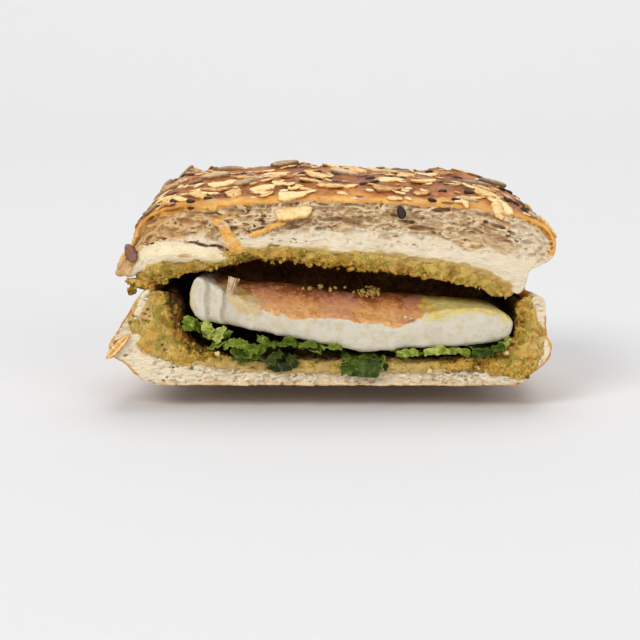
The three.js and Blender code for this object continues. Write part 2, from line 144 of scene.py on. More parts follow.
# Distance to the nearest of scattered points, one in each cell of that size, in cell sizes
def grainAt(points, size, salt):
    p = points / size + cellShift
    base = np.floor(p).astype(np.int64)
    best = np.full(len(points), 9.0)
    for corner in np.ndindex(3, 3, 3):
        cell = base + np.array(corner) - 1
        away = np.zeros(len(points))
        for axis in range(3):
            away += (p[:, axis] - cell[:, axis] - cellRandom(cell, salt + axis)) ** 2
        np.minimum(best, away, out=best)
    return np.sqrt(best)


# The roll as it is built, in the same named sizes as its solids
roll = {
    "halfWidth": 64.5, "cutY": -32.0, "backY": 33.4, "planCornerRadius": 20, "crustTurnDepth": 13,
    "crustTurnPower": 2.4, "leftTaper": 0.0022, "rightTaper": 0.0006, "pocketEndY": 22,
    "seamTopZ": 29.46, "seamBottomZ": 29.4, "settleDepth": 30, "wallLean": 3.6, "wallLeanDepth": 12,
}
topCrust = np.array([
    (-60.2, 37), (-57, 41.2), (-55, 46.2), (-51, 50.2), (-44.5, 52.2), (-28, 53.2), (-8, 54.3), (12, 53.8),
    (32, 52.8), (47, 51.2), (57.4, 48.7), (62.7, 45.4), (64.5, 41.4), (63.4, 37.6), (59.6, 35),
])
topLip = np.array([(56.8, 33.4), (56, 29.6), (54, 27)])
ceiling = np.array([
    (50.6, 28.8), (45.5, 31.6), (38, 34.3), (24, 36.8), (8, 38.2), (-8, 39.6), (-22, 39.8), (-34, 37.6),
    (-45, 36), (-51.5, 34.4),
])
topHeel = np.array([(-55.6, 33.2), (-59.5, 34.4)])
baseLine = np.array([
    (-57.6, 22.2), (-61.2, 16.4), (-63.8, 11.4), (-62.8, 8.4), (-59.4, 6.6), (-56, 2.8), (-51.5, 0.5),
    (-46, 0), (-14, 0), (18, 0), (50, 0), (55.4, 0.6), (57.6, 3.2), (60.8, 5.2), (63.4, 8.6), (64.1, 11.6),
    (62.6, 15), (62.2, 20),
])
rightRim = np.array([(61.4, 25.6), (58.6, 26.3)])
pocketFloor = np.array([
    (57.4, 24), (58.6, 19), (58.2, 13.5), (54.5, 8.8), (46, 6.4), (32, 5.2), (14, 4.7), (-8, 4.7), (-24, 5.2),
    (-36, 6.8), (-45, 10.4), (-49.8, 17), (-51, 22.6), (-51, 26.4),
])
leftRim = np.array([(-51.8, 28.4), (-54.2, 27)])
ceilingPesto = [2.6, 3.6, 4.2, 4.4, 4.2, 3.6, 3, 3, 4.4, 5.2]
floorPesto = [3.4, 4.6, 4.8, 3.4, 2.4, 2.2, 2.2, 2.2, 2.4, 3.2, 4.6, 5.6, 5, 3.4]
solidDepths = [-36, -32, -27, -20, -10, 2, 10, 16, 20, 23.5, 26.5, 29, 31, 32.6, 33.4]
breadDepths = np.array([
    -36, -32, -30, -28, -26, -23, -20, -16, -12, -8, -4, 0, 4, 8, 12, 15, 18, 20, 21.5, 23, 25, 27, 29,
    30.5, 31.7, 32.6, 33.1, 33.4,
])


def planScale(y):
    t = np.clip((y - (roll["backY"] - roll["planCornerRadius"])) / roll["planCornerRadius"], 0, 1)
    return 1 - roll["planCornerRadius"] / roll["halfWidth"] * (1 - math.sqrt(1 - t * t))


def narrowed(x, y):
    depth = max(y - roll["cutY"], 0)
    return x * planScale(y) * (1 - np.where(x < 0, roll["leftTaper"], roll["rightTaper"]) * depth)


def crustScale(y):
    t = np.clip((y - (roll["backY"] - roll["crustTurnDepth"])) / roll["crustTurnDepth"], 0, 0.997)
    return (1 - t ** roll["crustTurnPower"]) ** (1 / roll["crustTurnPower"])


def rise(x, y, z):
    depth = max(y - roll["cutY"], 0)
    middle = smoothstep(x, -54, -34)
    height, reach = lerp(6.4, 4.3, middle), lerp(24, 8, middle)
    return height * (1 - np.exp(-depth / reach)) * smoothstep(z, 38, 50) * fading(x, 42, 66)


def pocketOpenness(y):
    t = np.clip(y / roll["pocketEndY"], 0, 1)
    return (1 - t ** 3) ** (1 / 3)


def swell(line, y):
    x, z = line[:, 0], line[:, 1]
    fade = smoothstep(y, roll["cutY"], roll["cutY"] + 18) * smoothstep(z, 1, 10)
    sideways = 0.7 * np.sin(0.17 * y + 0.11 * z) + 0.4 * np.sin(0.31 * y + 0.05 * x)
    upwards = 0.55 * np.sin(0.12 * x + 0.16 * y) + 0.4 * np.sin(0.23 * x - 0.13 * y + 2)
    return np.stack([x + fade * sideways, z + fade * upwards], 1)


def cutFaceY(x, z):
    saw = 0.35 * np.sin(0.31 * x + 0.42 * z) + 0.25 * np.sin(0.63 * x - 0.27 * z + 1.3)
    crumbZ = 41 - 0.0022 * x * x - 0.02 * x
    return roll["cutY"] + saw - 0.8 * np.exp(-(((z - crumbZ) / 4.5) ** 2))


def crustAt(y):
    x, z = topCrust.T
    height = z + rise(x, y, z) - roll["seamTopZ"]
    return np.stack([narrowed(x, y), roll["seamTopZ"] + height * crustScale(y)], 1)


def towardsSeam(points, y, seamZ):
    settled = smoothstep(y, roll["cutY"], roll["cutY"] + roll["settleDepth"])
    return np.stack([narrowed(points[:, 0], y), lerp(points[:, 1], seamZ, settled)], 1)


def ceilingAt(y):
    return np.stack([narrowed(ceiling[:, 0], y), lerp(roll["seamTopZ"], ceiling[:, 1], pocketOpenness(y))], 1)


def leaningIn(points, y):
    x, z = points.T
    depth = smoothstep(y, roll["cutY"], roll["cutY"] + roll["wallLeanDepth"])
    return np.where(x > 0, roll["wallLean"] * depth * smoothstep(z, 8, 24), 0)


def floorAt(y):
    opened = pocketOpenness(y)
    closedX = np.linspace(53.4, -50.8, len(pocketFloor))
    x = lerp(closedX, pocketFloor[:, 0] - 0.5 * leaningIn(pocketFloor, y), opened)
    return np.stack([narrowed(x, y), lerp(roll["seamBottomZ"], pocketFloor[:, 1], opened)], 1)


def topCorners(y):
    lip = towardsSeam(topLip, y, roll["seamTopZ"])
    heel = towardsSeam(topHeel, y, roll["seamTopZ"])
    return [crustAt(y), lip, ceilingAt(y), heel]


def baseAt(y):
    x, z = baseLine.T
    height = (z - roll["seamBottomZ"]) * crustScale(y)
    return np.stack([narrowed(x - leaningIn(baseLine, y), y), roll["seamBottomZ"] + height], 1)


def bottomCorners(y):
    leaned = np.stack([rightRim[:, 0] - leaningIn(rightRim, y), rightRim[:, 1]], 1)
    right = towardsSeam(leaned, y, roll["seamBottomZ"])
    left = towardsSeam(leftRim, y, roll["seamBottomZ"])
    return [baseAt(y), right, floorAt(y), left]


# A bread's outline at each depth, whole or one part of it: 0 is its outer line, 2 the pocket
def lineOf(cornersAt, part=None):
    def lineAt(y):
        corners = cornersAt(y)
        line = smoothOutline(np.vstack(corners))
        if part is not None:
            start = sum(len(other) for other in corners[:part]) * curveSteps
            line = line[start:start + (len(corners[part]) - 1) * curveSteps + 1]
        return swell(line, y)

    return lineAt


# Fields: distance from a surface at each point of a grid, negative inside, finest near the cut
def gridOf(look):
    sides, (front, fineUntil, back), heights = look["box"]
    step = look["depthStep"]
    depths = list(np.arange(front, fineUntil, step))
    while depths[-1] < back:
        step = min(step * 1.13, look["backStep"])
        depths.append(depths[-1] + step)
    across, up = (np.arange(low, high + look["step"], look["step"]) for low, high in (sides, heights))
    return across, np.array(depths), up


def faceOf(grid):  # the grid seen from the front: X, Z and both as points
    px, pz = np.meshgrid(grid[0], grid[2], indexing="ij")
    return px, pz, np.stack([px, np.zeros(px.shape), pz], -1)


# Squared distance from a straight stretch, and how far along it the nearest place lies
def stretchDistance(px, pz, start, end):
    (x0, z0), (dx, dz) = start, end - start
    t = np.clip(((px - x0) * dx + (pz - z0) * dz) / (dx * dx + dz * dz + 1e-9), 0, 1)
    return (px - x0 - t * dx) ** 2 + (pz - z0 - t * dz) ** 2, t


def lineDistance(line, px, pz, closed=False):
    best = np.full(px.shape, 1e6)
    crossings = np.zeros(px.shape, bool)
    for start, end in zip(line, np.roll(line, -1, axis=0) if closed else line[1:]):
        np.minimum(best, stretchDistance(px, pz, start, end)[0], out=best)
        (x0, z0), (dx, dz) = start, end - start
        if closed and dz != 0:
            crossings ^= ((z0 > pz) != (end[1] > pz)) & (px < dx * (pz - z0) / dz + x0)
    return np.where(crossings, -1, 1) * np.sqrt(best)


def strokeDistance(line, widths, px, pz):
    best = np.full(px.shape, 1e6)
    for start, end, w0, w1 in zip(line, line[1:], widths, widths[1:]):
        away, t = stretchDistance(px, pz, start, end)
        np.minimum(best, np.sqrt(away) - lerp(w0, w1, t), out=best)
    return best


def throughDepths(layers, depths, grid):
    field = np.empty([len(line) for line in grid], np.float32)
    for j, y in enumerate(grid[1]):
        k = int(np.clip(np.searchsorted(depths, y) - 1, 0, len(depths) - 2))
        t = np.clip((y - depths[k]) / (depths[k + 1] - depths[k]), 0, 1)
        field[:, j] = lerp(layers[k], layers[k + 1], t)
    return field


def loftField(lineAt, depths, grid):
    px, pz, _ = faceOf(grid)
    layers = [lineDistance(lineAt(y), px, pz, True).astype(np.float32) for y in depths]
    ends = np.maximum(grid[1] - depths[-1], depths[0] - grid[1])
    return np.maximum(throughDepths(layers, depths, grid), ends[None, :, None])


def cutAway(field, grid, front):  # all that lies before a front with one depth for each X and Z
    return np.maximum(field, (front[:, None, :] - grid[1][None, :, None]).astype(np.float32))


# How far points lie from a line that changes with the depth
def distanceFrom(lineAt, points):
    k = np.clip(np.searchsorted(breadDepths, points[:, 1]) - 1, 0, len(breadDepths) - 2)
    result = np.zeros(len(points))
    for step in np.unique(k):
        rows = np.flatnonzero(k == step)
        x, y, z = points[rows].T
        near, far = breadDepths[step:step + 2]
        a, b = (lineDistance(lineAt(depth), x, z) for depth in (near, far))
        result[rows] = np.abs(lerp(a, b, np.clip((y - near) / (far - near), 0, 1)))
    return result


# Ellipsoids as rows: centre, half lengths, tilt about Y. The size of a point in one is 1 on its surface
def sizeIn(ball, x, y, z):
    cx, cy, cz, rx, ry, rz, tilt = ball
    x, y, z = x - cx, y - cy, z - cz
    along, up = x * math.cos(tilt) + z * math.sin(tilt), z * math.cos(tilt) - x * math.sin(tilt)
    return np.sqrt((along / rx) ** 2 + (y / ry) ** 2 + (up / rz) ** 2)


def nearestSize(balls, points):
    return np.min([sizeIn(ball, *points.T) for ball in balls], axis=0)


def ellipsoidBlock(grid, ball, margin=1):
    cx, cy, cz, rx, ry, rz, _ = ball
    wide = max(rx, rz) + margin
    spans = [(cx - wide, cx + wide), (cy - ry - margin, cy + ry + margin), (cz - wide, cz + wide)]
    cut = tuple(slice(*np.searchsorted(line, span)) for line, span in zip(grid, spans))
    x, y, z = (line[part] for line, part in zip(grid, cut))
    size = sizeIn(ball, x[:, None, None], y[None, :, None], z[None, None, :])
    return cut, (size - 1) * min(rx, ry, rz)


def carve(field, guard, grid, balls):
    for ball in balls:
        cut, distance = ellipsoidBlock(grid, ball)
        np.maximum(field[cut], np.minimum(-distance, guard[cut]), out=field[cut])


def addBall(field, grid, ball, blend):
    cut, distance = ellipsoidBlock(grid, ball, margin=2.5)
    old = field[cut]
    share = np.clip(0.5 + 0.5 * (old - distance) / blend, 0, 1)
    field[cut] = lerp(old, distance, share) - blend * share * (1 - share)


# Adds to the field near its surface only, from a function of the points there
def nudge(field, grid, reach, amountAt):
    index = np.nonzero(np.abs(field) < reach)
    points = np.stack([line[part] for line, part in zip(grid, index)], 1)
    field[index] += amountAt(points).astype(np.float32)


# The surface of a field as quads, one vertex in each grid cell that it crosses
def surfaceOf(field, grid):
    inside = field < 0
    cellShape = tuple(n - 1 for n in field.shape)
    allQuads, allCells, allPoints = [], [], []
    for axis in range(3):
        low = tuple(slice(0, -1) if a == axis else slice(None) for a in range(3))
        high = tuple(slice(1, None) if a == axis else slice(None) for a in range(3))
        index = np.argwhere(inside[low] != inside[high])
        u, v = (axis + 1) % 3, (axis + 2) % 3
        for side in (u, v):
            index = index[(index[:, side] > 0) & (index[:, side] < field.shape[side] - 1)]
        beyond = index.copy()
        beyond[:, axis] += 1
        a, b = field[tuple(index.T)], field[tuple(beyond.T)]
        point = np.stack([grid[k][index[:, k]] for k in range(3)], 1)
        point[:, axis] += a / (a - b) * (grid[axis][beyond[:, axis]] - grid[axis][index[:, axis]])
        cells = []
        for du, dv in ((-1, -1), (0, -1), (0, 0), (-1, 0)):
            cell = index.copy()
            cell[:, u] += du
            cell[:, v] += dv
            cells.append(np.ravel_multi_index(tuple(cell.T), cellShape))
            allPoints.append(point)
        allCells += cells
        quads = np.stack(cells, 1)
        allQuads.append(np.where((a > 0)[:, None], quads[:, ::-1], quads))
    used, place = np.unique(np.concatenate(allCells), return_inverse=True)
    points, count = np.vstack(allPoints), np.bincount(place)
    vertices = np.stack([np.bincount(place, weights=points[:, k]) / count for k in range(3)], 1)
    return largestPart(vertices, np.searchsorted(used, np.vstack(allQuads)))


def largestPart(vertices, faces):
    label = np.arange(len(vertices))
    while True:
        lowest = label[faces].min(axis=1)
        found = label.copy()
        for corner in range(4):
            np.minimum.at(found, faces[:, corner], lowest)
        found = found[found]
        if np.array_equal(found, label):
            break
        label = found
    keep = label == np.bincount(label).argmax()
    place = np.cumsum(keep) - 1
    return vertices[keep], place[faces[keep[faces[:, 0]]]]


def normalsOf(vertices, faces):
    corners = [vertices[faces[:, k]] for k in range(4)]
    across = np.cross(corners[2] - corners[0], corners[3] - corners[1])
    normals = np.zeros_like(vertices)
    for k in range(4):
        for axis in range(3):
            normals[:, axis] += np.bincount(faces[:, k], weights=across[:, axis], minlength=len(vertices))
    return normals / np.maximum(np.linalg.norm(normals, axis=1, keepdims=True), 1e-9)


# A Blender object from points in millimetres, with the values that its paint reads
def makePiece(name, vertices, faces, masks, paint):
    mesh = bpy.data.meshes.new(name)
    faces = np.asarray(faces)
    mesh.vertices.add(len(vertices))
    mesh.vertices.foreach_set("co", (np.asarray(vertices) * metre).astype(np.float32).ravel())
    mesh.loops.add(faces.size)
    mesh.loops.foreach_set("vertex_index", faces.astype(np.int32).ravel())
    mesh.polygons.add(len(faces))
    mesh.polygons.foreach_set("loop_start", np.arange(len(faces), dtype=np.int32) * faces.shape[1])
    mesh.update(calc_edges=True)
    mesh.validate()
    for mask, values in masks.items():
        layer = mesh.attributes.new(mask, "FLOAT", "POINT")
        layer.data.foreach_set("value", np.asarray(values, np.float32))
    mesh.shade_smooth()
    mesh.materials.append(paint.material)
    piece = bpy.data.objects.new(name, mesh)
    bpy.context.scene.collection.objects.link(piece)
    print(name, "has", len(faces) * (faces.shape[1] - 2), "triangles")
    return piece


# Several parts as one: points, faces and masks of each
def joined(parts):
    starts = np.cumsum([0] + [len(part[0]) for part in parts])
    faces = np.vstack([part[1] + start for part, start in zip(parts, starts)])
    masks = {mask: np.concatenate([part[2][mask] for part in parts]) for mask in parts[0][2]}
    return np.vstack([part[0] for part in parts]), faces, masks


def belongs(piece, node, slot):
    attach(piece, "root")
    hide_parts(node)


# Fewer triangles where a surface is plain, all of them where it is torn
def thinOut(piece, keep):
    modifier = piece.modifiers.new("thinOut", "DECIMATE")
    modifier.ratio = keep
    graph = bpy.context.evaluated_depsgraph_get()
    mesh = bpy.data.meshes.new_from_object(piece.evaluated_get(graph))
    piece.modifiers.clear()
    piece.data = mesh
    print(piece.name, "thinned to", sum(len(face.vertices) - 2 for face in mesh.polygons), "triangles")


# Materials
def colour(red, green, blue):  # as on a screen, 0 to 255
    steps = [c / 255 for c in (red, green, blue)]
    return tuple(((c + 0.055) / 1.055) ** 2.4 if c > 0.04 else c / 12.92 for c in steps) + (1.0,)


class Wire:  # an output socket: arithmetic on it adds Math nodes
    def __init__(self, paint, socket):
        self.paint, self.socket = paint, socket

    def math(self, operation, *values):
        return self.paint.node("ShaderNodeMath", {"operation": operation}, dict(enumerate(values)))

    def __add__(self, other):
        return self.math("ADD", self, other)

    def __radd__(self, other):
        return self.math("ADD", other, self)

    def __sub__(self, other):
        return self.math("SUBTRACT", self, other)

    def __rsub__(self, other):
        return self.math("SUBTRACT", other, self)

    def __mul__(self, other):
        return self.math("MULTIPLY", self, other)

    def __rmul__(self, other):
        return self.math("MULTIPLY", other, self)


class Paint:  # one material, its nodes, and the shades that it calls by name
    def __init__(self, name, surface, shades=()):
        self.material = bpy.data.materials.new(name)
        self.material.use_nodes = True
        self.tree = self.material.node_tree
        self.shader = self.tree.nodes["Principled BSDF"]
        self.shades = {key: colour(*value) for key, value in dict(shades).items()}
        for socket, value in surface.items():
            self.shader.inputs[socket].default_value = value

    def node(self, kind, settings, values, output=0):
        made = self.tree.nodes.new(kind)
        for key, value in settings.items():
            if key == "stops":
                ramp = made.color_ramp
                while len(ramp.elements) < len(value):
                    ramp.elements.new(0.5)
                for element, (position, shade) in zip(ramp.elements, value):
                    element.position, element.color = position, self.shades[shade]
            else:
                setattr(made, key, value)
        for key, value in values.items():
            if isinstance(value, Wire):
                self.tree.links.new(value.socket, made.inputs[key])
            else:
                made.inputs[key].default_value = self.shades[value] if isinstance(value, str) else value
        return Wire(self, made.outputs[output])

    def wireOf(self, other, output):  # another output of the same node
        return Wire(self, other.socket.node.outputs[output])

    def wire(self, socket, value):
        self.tree.links.new(value.socket, self.shader.inputs[socket])

    def place(self, stretch=(1, 1, 1)):  # the point in millimetres, squeezed along each axis
        where = self.node("ShaderNodeTexCoord", {}, {}, output=3)
        scale = tuple(s / metre for s in stretch)
        return self.node("ShaderNodeVectorMath", {"operation": "MULTIPLY"}, {0: where, 1: scale})

    def noise(self, where, scale, detail=3, rough=0.55, bend=0):  # about 0, from -0.5 to 0.5
        values = {"Vector": where, "Scale": scale, "Detail": detail, "Roughness": rough, "Distortion": bend}
        return self.node("ShaderNodeTexNoise", {}, values) - 0.5

    def cells(self, where, scale, feature="F1", output=0):
        values = {"Vector": where, "Scale": scale}
        return self.node("ShaderNodeTexVoronoi", {"feature": feature}, values, output)

    def cellShade(self, where, scale, channel=0):  # a random number for each cell
        return self.node("ShaderNodeSeparateColor", {}, {0: self.cells(where, scale, output=1)}, channel)

    def mask(self, name):
        return self.node("ShaderNodeAttribute", {"attribute_name": name}, {}, output=2)

    def between(self, value, low, high, most=1):  # from 0 to most while the value goes from low to high
        values = {"Value": value, "From Min": low, "From Max": high, "To Max": most}
        return self.node("ShaderNodeMapRange", {"interpolation_type": "SMOOTHSTEP"}, values)

    def ramp(self, value, *stops):
        return self.node("ShaderNodeValToRGB", {"stops": stops}, {0: value})

    def mix(self, share, a, b):
        return self.node("ShaderNodeMix", {"data_type": "RGBA"}, {0: share, 6: a, 7: b}, 2)

    def over(self, under, shade, *spread):  # one shade over another, its share from between()
        return self.mix(self.between(*spread), under, shade)

    def bump(self, height, strength, distance):
        values = {"Strength": strength, "Distance": distance * metre, "Height": height}
        self.wire("Normal", self.node("ShaderNodeBump", {}, values))


# Bread shades. Hollow is the painted shade inside pores, cells and hollows; dark is the painted shadow in the
# grooves
breadShades = {
    "deep": (114, 58, 20), "brown": (170, 100, 38), "gold": (212, 142, 56), "pale": (238, 192, 108),
    "edge": (238, 162, 60), "base": (184, 140, 92), "white": (237, 224, 200), "cream": (248, 232, 196),
    "tan": (204, 168, 118), "hollow": (168, 124, 76), "fleck": (180, 130, 76), "stain": (176, 134, 44),
    "warm": (232, 210, 166), "wall": (235, 217, 189), "shred": (238, 217, 180), "gilt": (216, 158, 82),
    "dark": (98, 54, 28), "rosy": (190, 150, 122), "soaked": (212, 178, 104),
}


# Crumb cells stretched along the crust: a wire for the walls between them and one for each cell's own shade
def crumbCells(paint, fine):
    where = paint.node("ShaderNodeSeparateXYZ", {}, {0: paint.place()})
    beside = {"X": 0.3 * where, "Y": 0.4 * paint.wireOf(where, 1), "Z": paint.mask("below")}
    spot = paint.node("ShaderNodeCombineXYZ", {}, beside)
    bend = paint.node("ShaderNodeTexNoise", {}, {"Vector": spot, "Scale": 0.4, "Detail": 3}, 1)
    values = {0: bend, 1: (2, 2, 2.4), 2: spot}
    bent = paint.node("ShaderNodeVectorMath", {"operation": "MULTIPLY_ADD"}, values)
    walls, shade = [], []
    for scale in (0.55, 1.3):
        away = paint.cells(bent, scale, "DISTANCE_TO_EDGE")
        walls.append(1 - paint.between(away + 0.1 * fine, 0, 0.22))
        shade.append(paint.cellShade(bent, scale))
    return 0.75 * walls[0] + 0.35 * walls[1], 0.65 * shade[0] + 0.35 * shade[1]


def breadPaint(name):
    paint = Paint(name, {
        "Subsurface Weight": 0.12, "Subsurface Scale": 0.001, "Subsurface Radius": (1, 0.6, 0.35),
        "Coat Roughness": 0.3, "Specular IOR Level": 0.3,
    }, breadShades)
    mask, mix, over, between = paint.mask, paint.mix, paint.over, paint.between
    where = paint.place()
    broad, mottle = paint.noise(where, 0.09), paint.noise(where, 0.42, 5, 0.65, 0.4)
    fine, speck = paint.noise(where, 2.6), paint.noise(where, 1.1, 2, 0.7)
    streak = paint.noise(paint.place((1, 2.4, 1)), 0.8, 4, 0.65, 1.2)
    wall, ownShade = crumbCells(paint, fine)

    # Torn crumb with its web, dense crumb below it. Inside the torn crumb's cells the tan and hollow shades
    # are painted shade, and their walls stay pale
    torn = over("tan", "hollow", ownShade + 0.4 * fine, 0.25, 1)
    torn = over(torn, "rosy", broad + 0.4 * mottle, 0, 0.1, 0.5)
    torn = over(torn, "shred", 0.8 * wall + 0.9 * streak + 0.4 * speck, 0, 0.85, 0.9)
    dense = over("warm", "wall", wall + 0.8 * fine, 0.1, 0.6)
    dense = mix(0.45 - 0.3 * speck, dense, "white")
    crumb = over(dense, torn, mask("loose") + 0.5 * mottle, 0.2, 0.8)
    creamy = over("cream", "warm", mottle + 0.4 * fine, -0.05, 0.25)
    crumb = mix(0.9 * mask("cream"), crumb, creamy)
    crumb = over(crumb, "gilt", mask("gilt") + 0.9 * mottle, 0.3, 0.9, 0.8)
    # Painted shade: the further a point lies behind the cut face, in pores and hollows, the more it takes the
    # hollow shade
    hollow = between(mask("hollow") + 0.7 * fine, 0.05, 1)
    crumb = mix(hollow * (0.75 - 0.4 * wall), crumb, "hollow")
    crumb = over(crumb, "fleck", speck, 0.14, 0.26, 0.35)
    # Painted shade inside the large carved hollows
    cave = over("hollow", "tan", mottle + 0.5 * fine, -0.1, 0.15)
    crumb = mix(0.8 * mask("cave"), crumb, cave)
    # Painted shadow lines in the grooves
    crumb = over(crumb, "dark", mask("groove") + 1.4 * mottle + 0.8 * fine, 0.3, 0.9, 0.85)

    # Pesto soaked into it
    crumb = over(crumb, "warm", mask("stain"), 0, 0.6, 0.5)
    stained = between(mask("stain") + 0.9 * mottle + 0.3 * fine, 0.45, 0.85)
    soaked = over("stain", "soaked", mottle + 0.7 * fine, -0.12, 0.16)
    crumb = mix(stained * (0.85 + 0.4 * fine), crumb, soaked)

    # Crust, lighter along the cut and on the flakes that hang over it
    baked = mask("toast") + broad + 0.8 * mottle + 0.7 * streak
    crust = paint.ramp(baked, (0.08, "pale"), (0.32, "gold"), (0.55, "brown"), (0.9, "deep"))
    patches = 0.5 + mottle + 0.9 * streak + 0.4 * fine
    lightEdge = paint.ramp(patches, (0.24, "brown"), (0.37, "edge"), (0.62, "pale"))
    crumb = over(crumb, lightEdge, mask("flake") + 0.5 * fine, 0.25, 0.7, 0.95)
    crust = mix(mask("band"), crust, lightEdge)
    crust = over(crust, "base", mask("base") + 0.5 * mottle, 0.4, 0.8)
    edge = between(mask("crust") + 0.7 * fine + 0.6 * speck, 0.35, 0.7)
    paint.wire("Base Color", mix(edge, crumb, crust))
    paint.wire("Roughness", 0.85 - 0.45 * edge + 0.4 * mottle)
    paint.wire("Coat Weight", 0.09 * edge)
    paint.bump(fine + 0.8 * mottle + 0.7 * streak + 0.8 * wall * (1 - edge), 0.7, 0.45)
    return paint


# Seeds and bits: half lengths along, across and through, how much one end narrows, piece, roughness, shades
# from pale to dark, and the solid and slot of those that don't lie on the crust
seedKinds = {
    "oat": {
        "half": (4.3, 2.3, 0.6), "piece": "oatFlakes", "rough": 0.45,
        "shades": ((246, 218, 160), (222, 174, 100), (140, 78, 34)),
    },
    "sunflower": {
        "half": (4.6, 2, 1.1), "narrow": 0.45, "piece": "sunflowerKernels", "rough": 0.45,
        "shades": ((214, 184, 140), (178, 146, 106), (122, 92, 64)),
    },
    "blackSesame": {
        "half": (1.55, 0.95, 0.55), "narrow": 0.3, "piece": "blackSesameSeeds", "rough": 0.55,
        "shades": ((58, 42, 34), (36, 26, 22), (22, 15, 12)),
    },
    "brownFlax": {
        "half": (2.2, 1.3, 0.6), "narrow": 0.12, "piece": "brownFlaxSeeds", "rough": 0.25,
        "shades": ((146, 104, 84), (112, 74, 56), (70, 42, 30)),
    },
    "paleSesame": {
        "half": (1.6, 1, 0.55), "narrow": 0.3, "piece": "paleSesameSeeds", "rough": 0.5,
        "shades": ((236, 210, 162), (220, 184, 124), (184, 138, 80)),
    },
    "husk": {
        "half": (4.4, 1.2, 0.9), "narrow": 0.1, "piece": "oatHusk", "rough": 0.4,
        "shades": ((252, 220, 156), (228, 168, 90), (96, 52, 22)), "home": ("bottom_bread", "crumb"),
    },
    "lump": {
        "half": (1, 0.9, 0.85), "piece": "pestoLumps", "rough": 0.45,
        "shades": ((200, 160, 84), (144, 106, 42), (76, 48, 18)), "home": ("pesto_top", "pesto"),
    },
    "strip": {
        "piece": "paleStrip", "rough": 0.35,
        "shades": ((226, 204, 172), (194, 160, 122), (132, 94, 62)), "home": ("cheese", "cheese"),
    },
    "crumb": {
        "half": (1, 0.85, 0.8), "piece": "breadCrumbs", "rough": 0.8,
        "shades": ((228, 206, 150), (206, 172, 104), (160, 118, 60)), "home": ("pesto_bottom", "pesto"),
    },
}
mainSeeds = [
    ("blackSesame", -11.3, -26, 10), ("blackSesame", 10, -19, 30), ("blackSesame", 13, -16.5, 15),
    ("blackSesame", 22.8, -22, 5), ("blackSesame", 40, -24, -10), ("blackSesame", 2, -4, 0),
    ("blackSesame", 31, 14, 10), ("blackSesame", 39, 8, -15), ("blackSesame", 46.5, 8, -25),
    ("blackSesame", 54, -8, -30), ("blackSesame", -17.3, 26, 0), ("blackSesame", -34.5, 10, 20),
    ("brownFlax", -39.5, -12, 15), ("brownFlax", -45.5, -20, 35), ("blackSesame", 33, -12, 20),
    ("oat", -32.8, -22, 20), ("oat", -19.7, -25, 4), ("oat", -6.2, -19, 60), ("oat", 0.5, -24, -3),
    ("oat", 16.5, -25, 8), ("oat", -12.2, -11, 0), ("oat", -24, -8, -6), ("oat", 45.5, -23.5, -10),
    ("oat", 49.5, -29.5, -60), ("oat", 27.5, -14, 28), ("oat", -27.5, -25.5, 80), ("oat", -10.5, -30.6, 6),
    ("sunflower", -45.5, 20, 12), ("sunflower", -49, 0, 62), ("sunflower", -31, 22, -8),
    ("sunflower", 4.5, -1.5, -12), ("sunflower", -14, 19, 25),
]
seedRules = {
    "scattered": 66, "tries": 900, "seed": 2024, "spacing": 0.62, "shares": (0.14, 0.79), "depths": (-29, 30),
    "turn": 2.4, "kinds": ["oat"] * 6 + ["sunflower", "blackSesame", "paleSesame", "brownFlax"],
}
flakeRules = {
    "count": 300, "tries": 3000, "seed": 77, "spacing": 0.3, "oatSizes": (0.2, 0.62), "seedSize": 0.85,
    "shares": (0.1, 0.84), "depths": (-28, 31.5), "frontDepths": (-31, -24), "turn": 0.5,
    "kinds": ["oat"] * 7 + ["paleSesame", "blackSesame", "sunflower"],
}


def halfOf(kind):
    return seedKinds[kind]["half"]


def randomFrom(seed):  # the same sequence as the solids' seeds
    state, factor, span = seed, 16807, 2147483647
    while True:
        state = state * factor % span
        yield state / span


def crustPoint(t, y):
    x, z = swell(alongCurve(crustAt(y), [t * (len(topCrust) - 1)]), y)[0]
    return np.array([x, y, z])


def crustShareOver(x, y):
    shares = np.linspace(0.08, 0.92, 400)
    line = swell(alongCurve(crustAt(y), shares * (len(topCrust) - 1)), y)
    return np.interp(x, line[:, 0], shares)


# The solids' crust runs straight between these depths, and their seeds keep their distances on it
def solidPoint(t, y):
    k = np.searchsorted(solidDepths, y, side="right")
    near, far = solidDepths[k - 1], solidDepths[k]
    return lerp(crustPoint(t, near), crustPoint(t, far), (y - near) / (far - near))


def hasRoom(kind, size, at, places, spacing):
    long = size * halfOf(kind)[0]
    return all(np.linalg.norm(p[4] - at) > spacing * (long + p[5] * halfOf(p[0])[0]) for p in places)


# A place on the crust: kind, share of the way across, depth, turn, point and size
def seedPlaces(rules):
    draw = randomFrom(rules["seed"])
    places = []
    for kind, x, y, turn in mainSeeds:
        t = crustShareOver(x, y)
        places.append((kind, t, y, math.radians(turn), solidPoint(t, y), 1))
    for _ in range(rules["tries"]):
        if len(places) == len(mainSeeds) + rules["scattered"]:
            break
        t = lerp(*rules["shares"], next(draw))
        y = lerp(*rules["depths"], next(draw))
        kind = rules["kinds"][int(next(draw) * len(rules["kinds"]))]
        turn = (next(draw) - 0.5) * rules["turn"]
        thinner = next(draw) < smoothstep(t, 0.5, 0.85) * 0.55
        at = solidPoint(t, y)
        if not thinner and hasRoom(kind, 1, at, places, rules["spacing"]):
            places.append((kind, t, y, turn, at, 1))
    return places


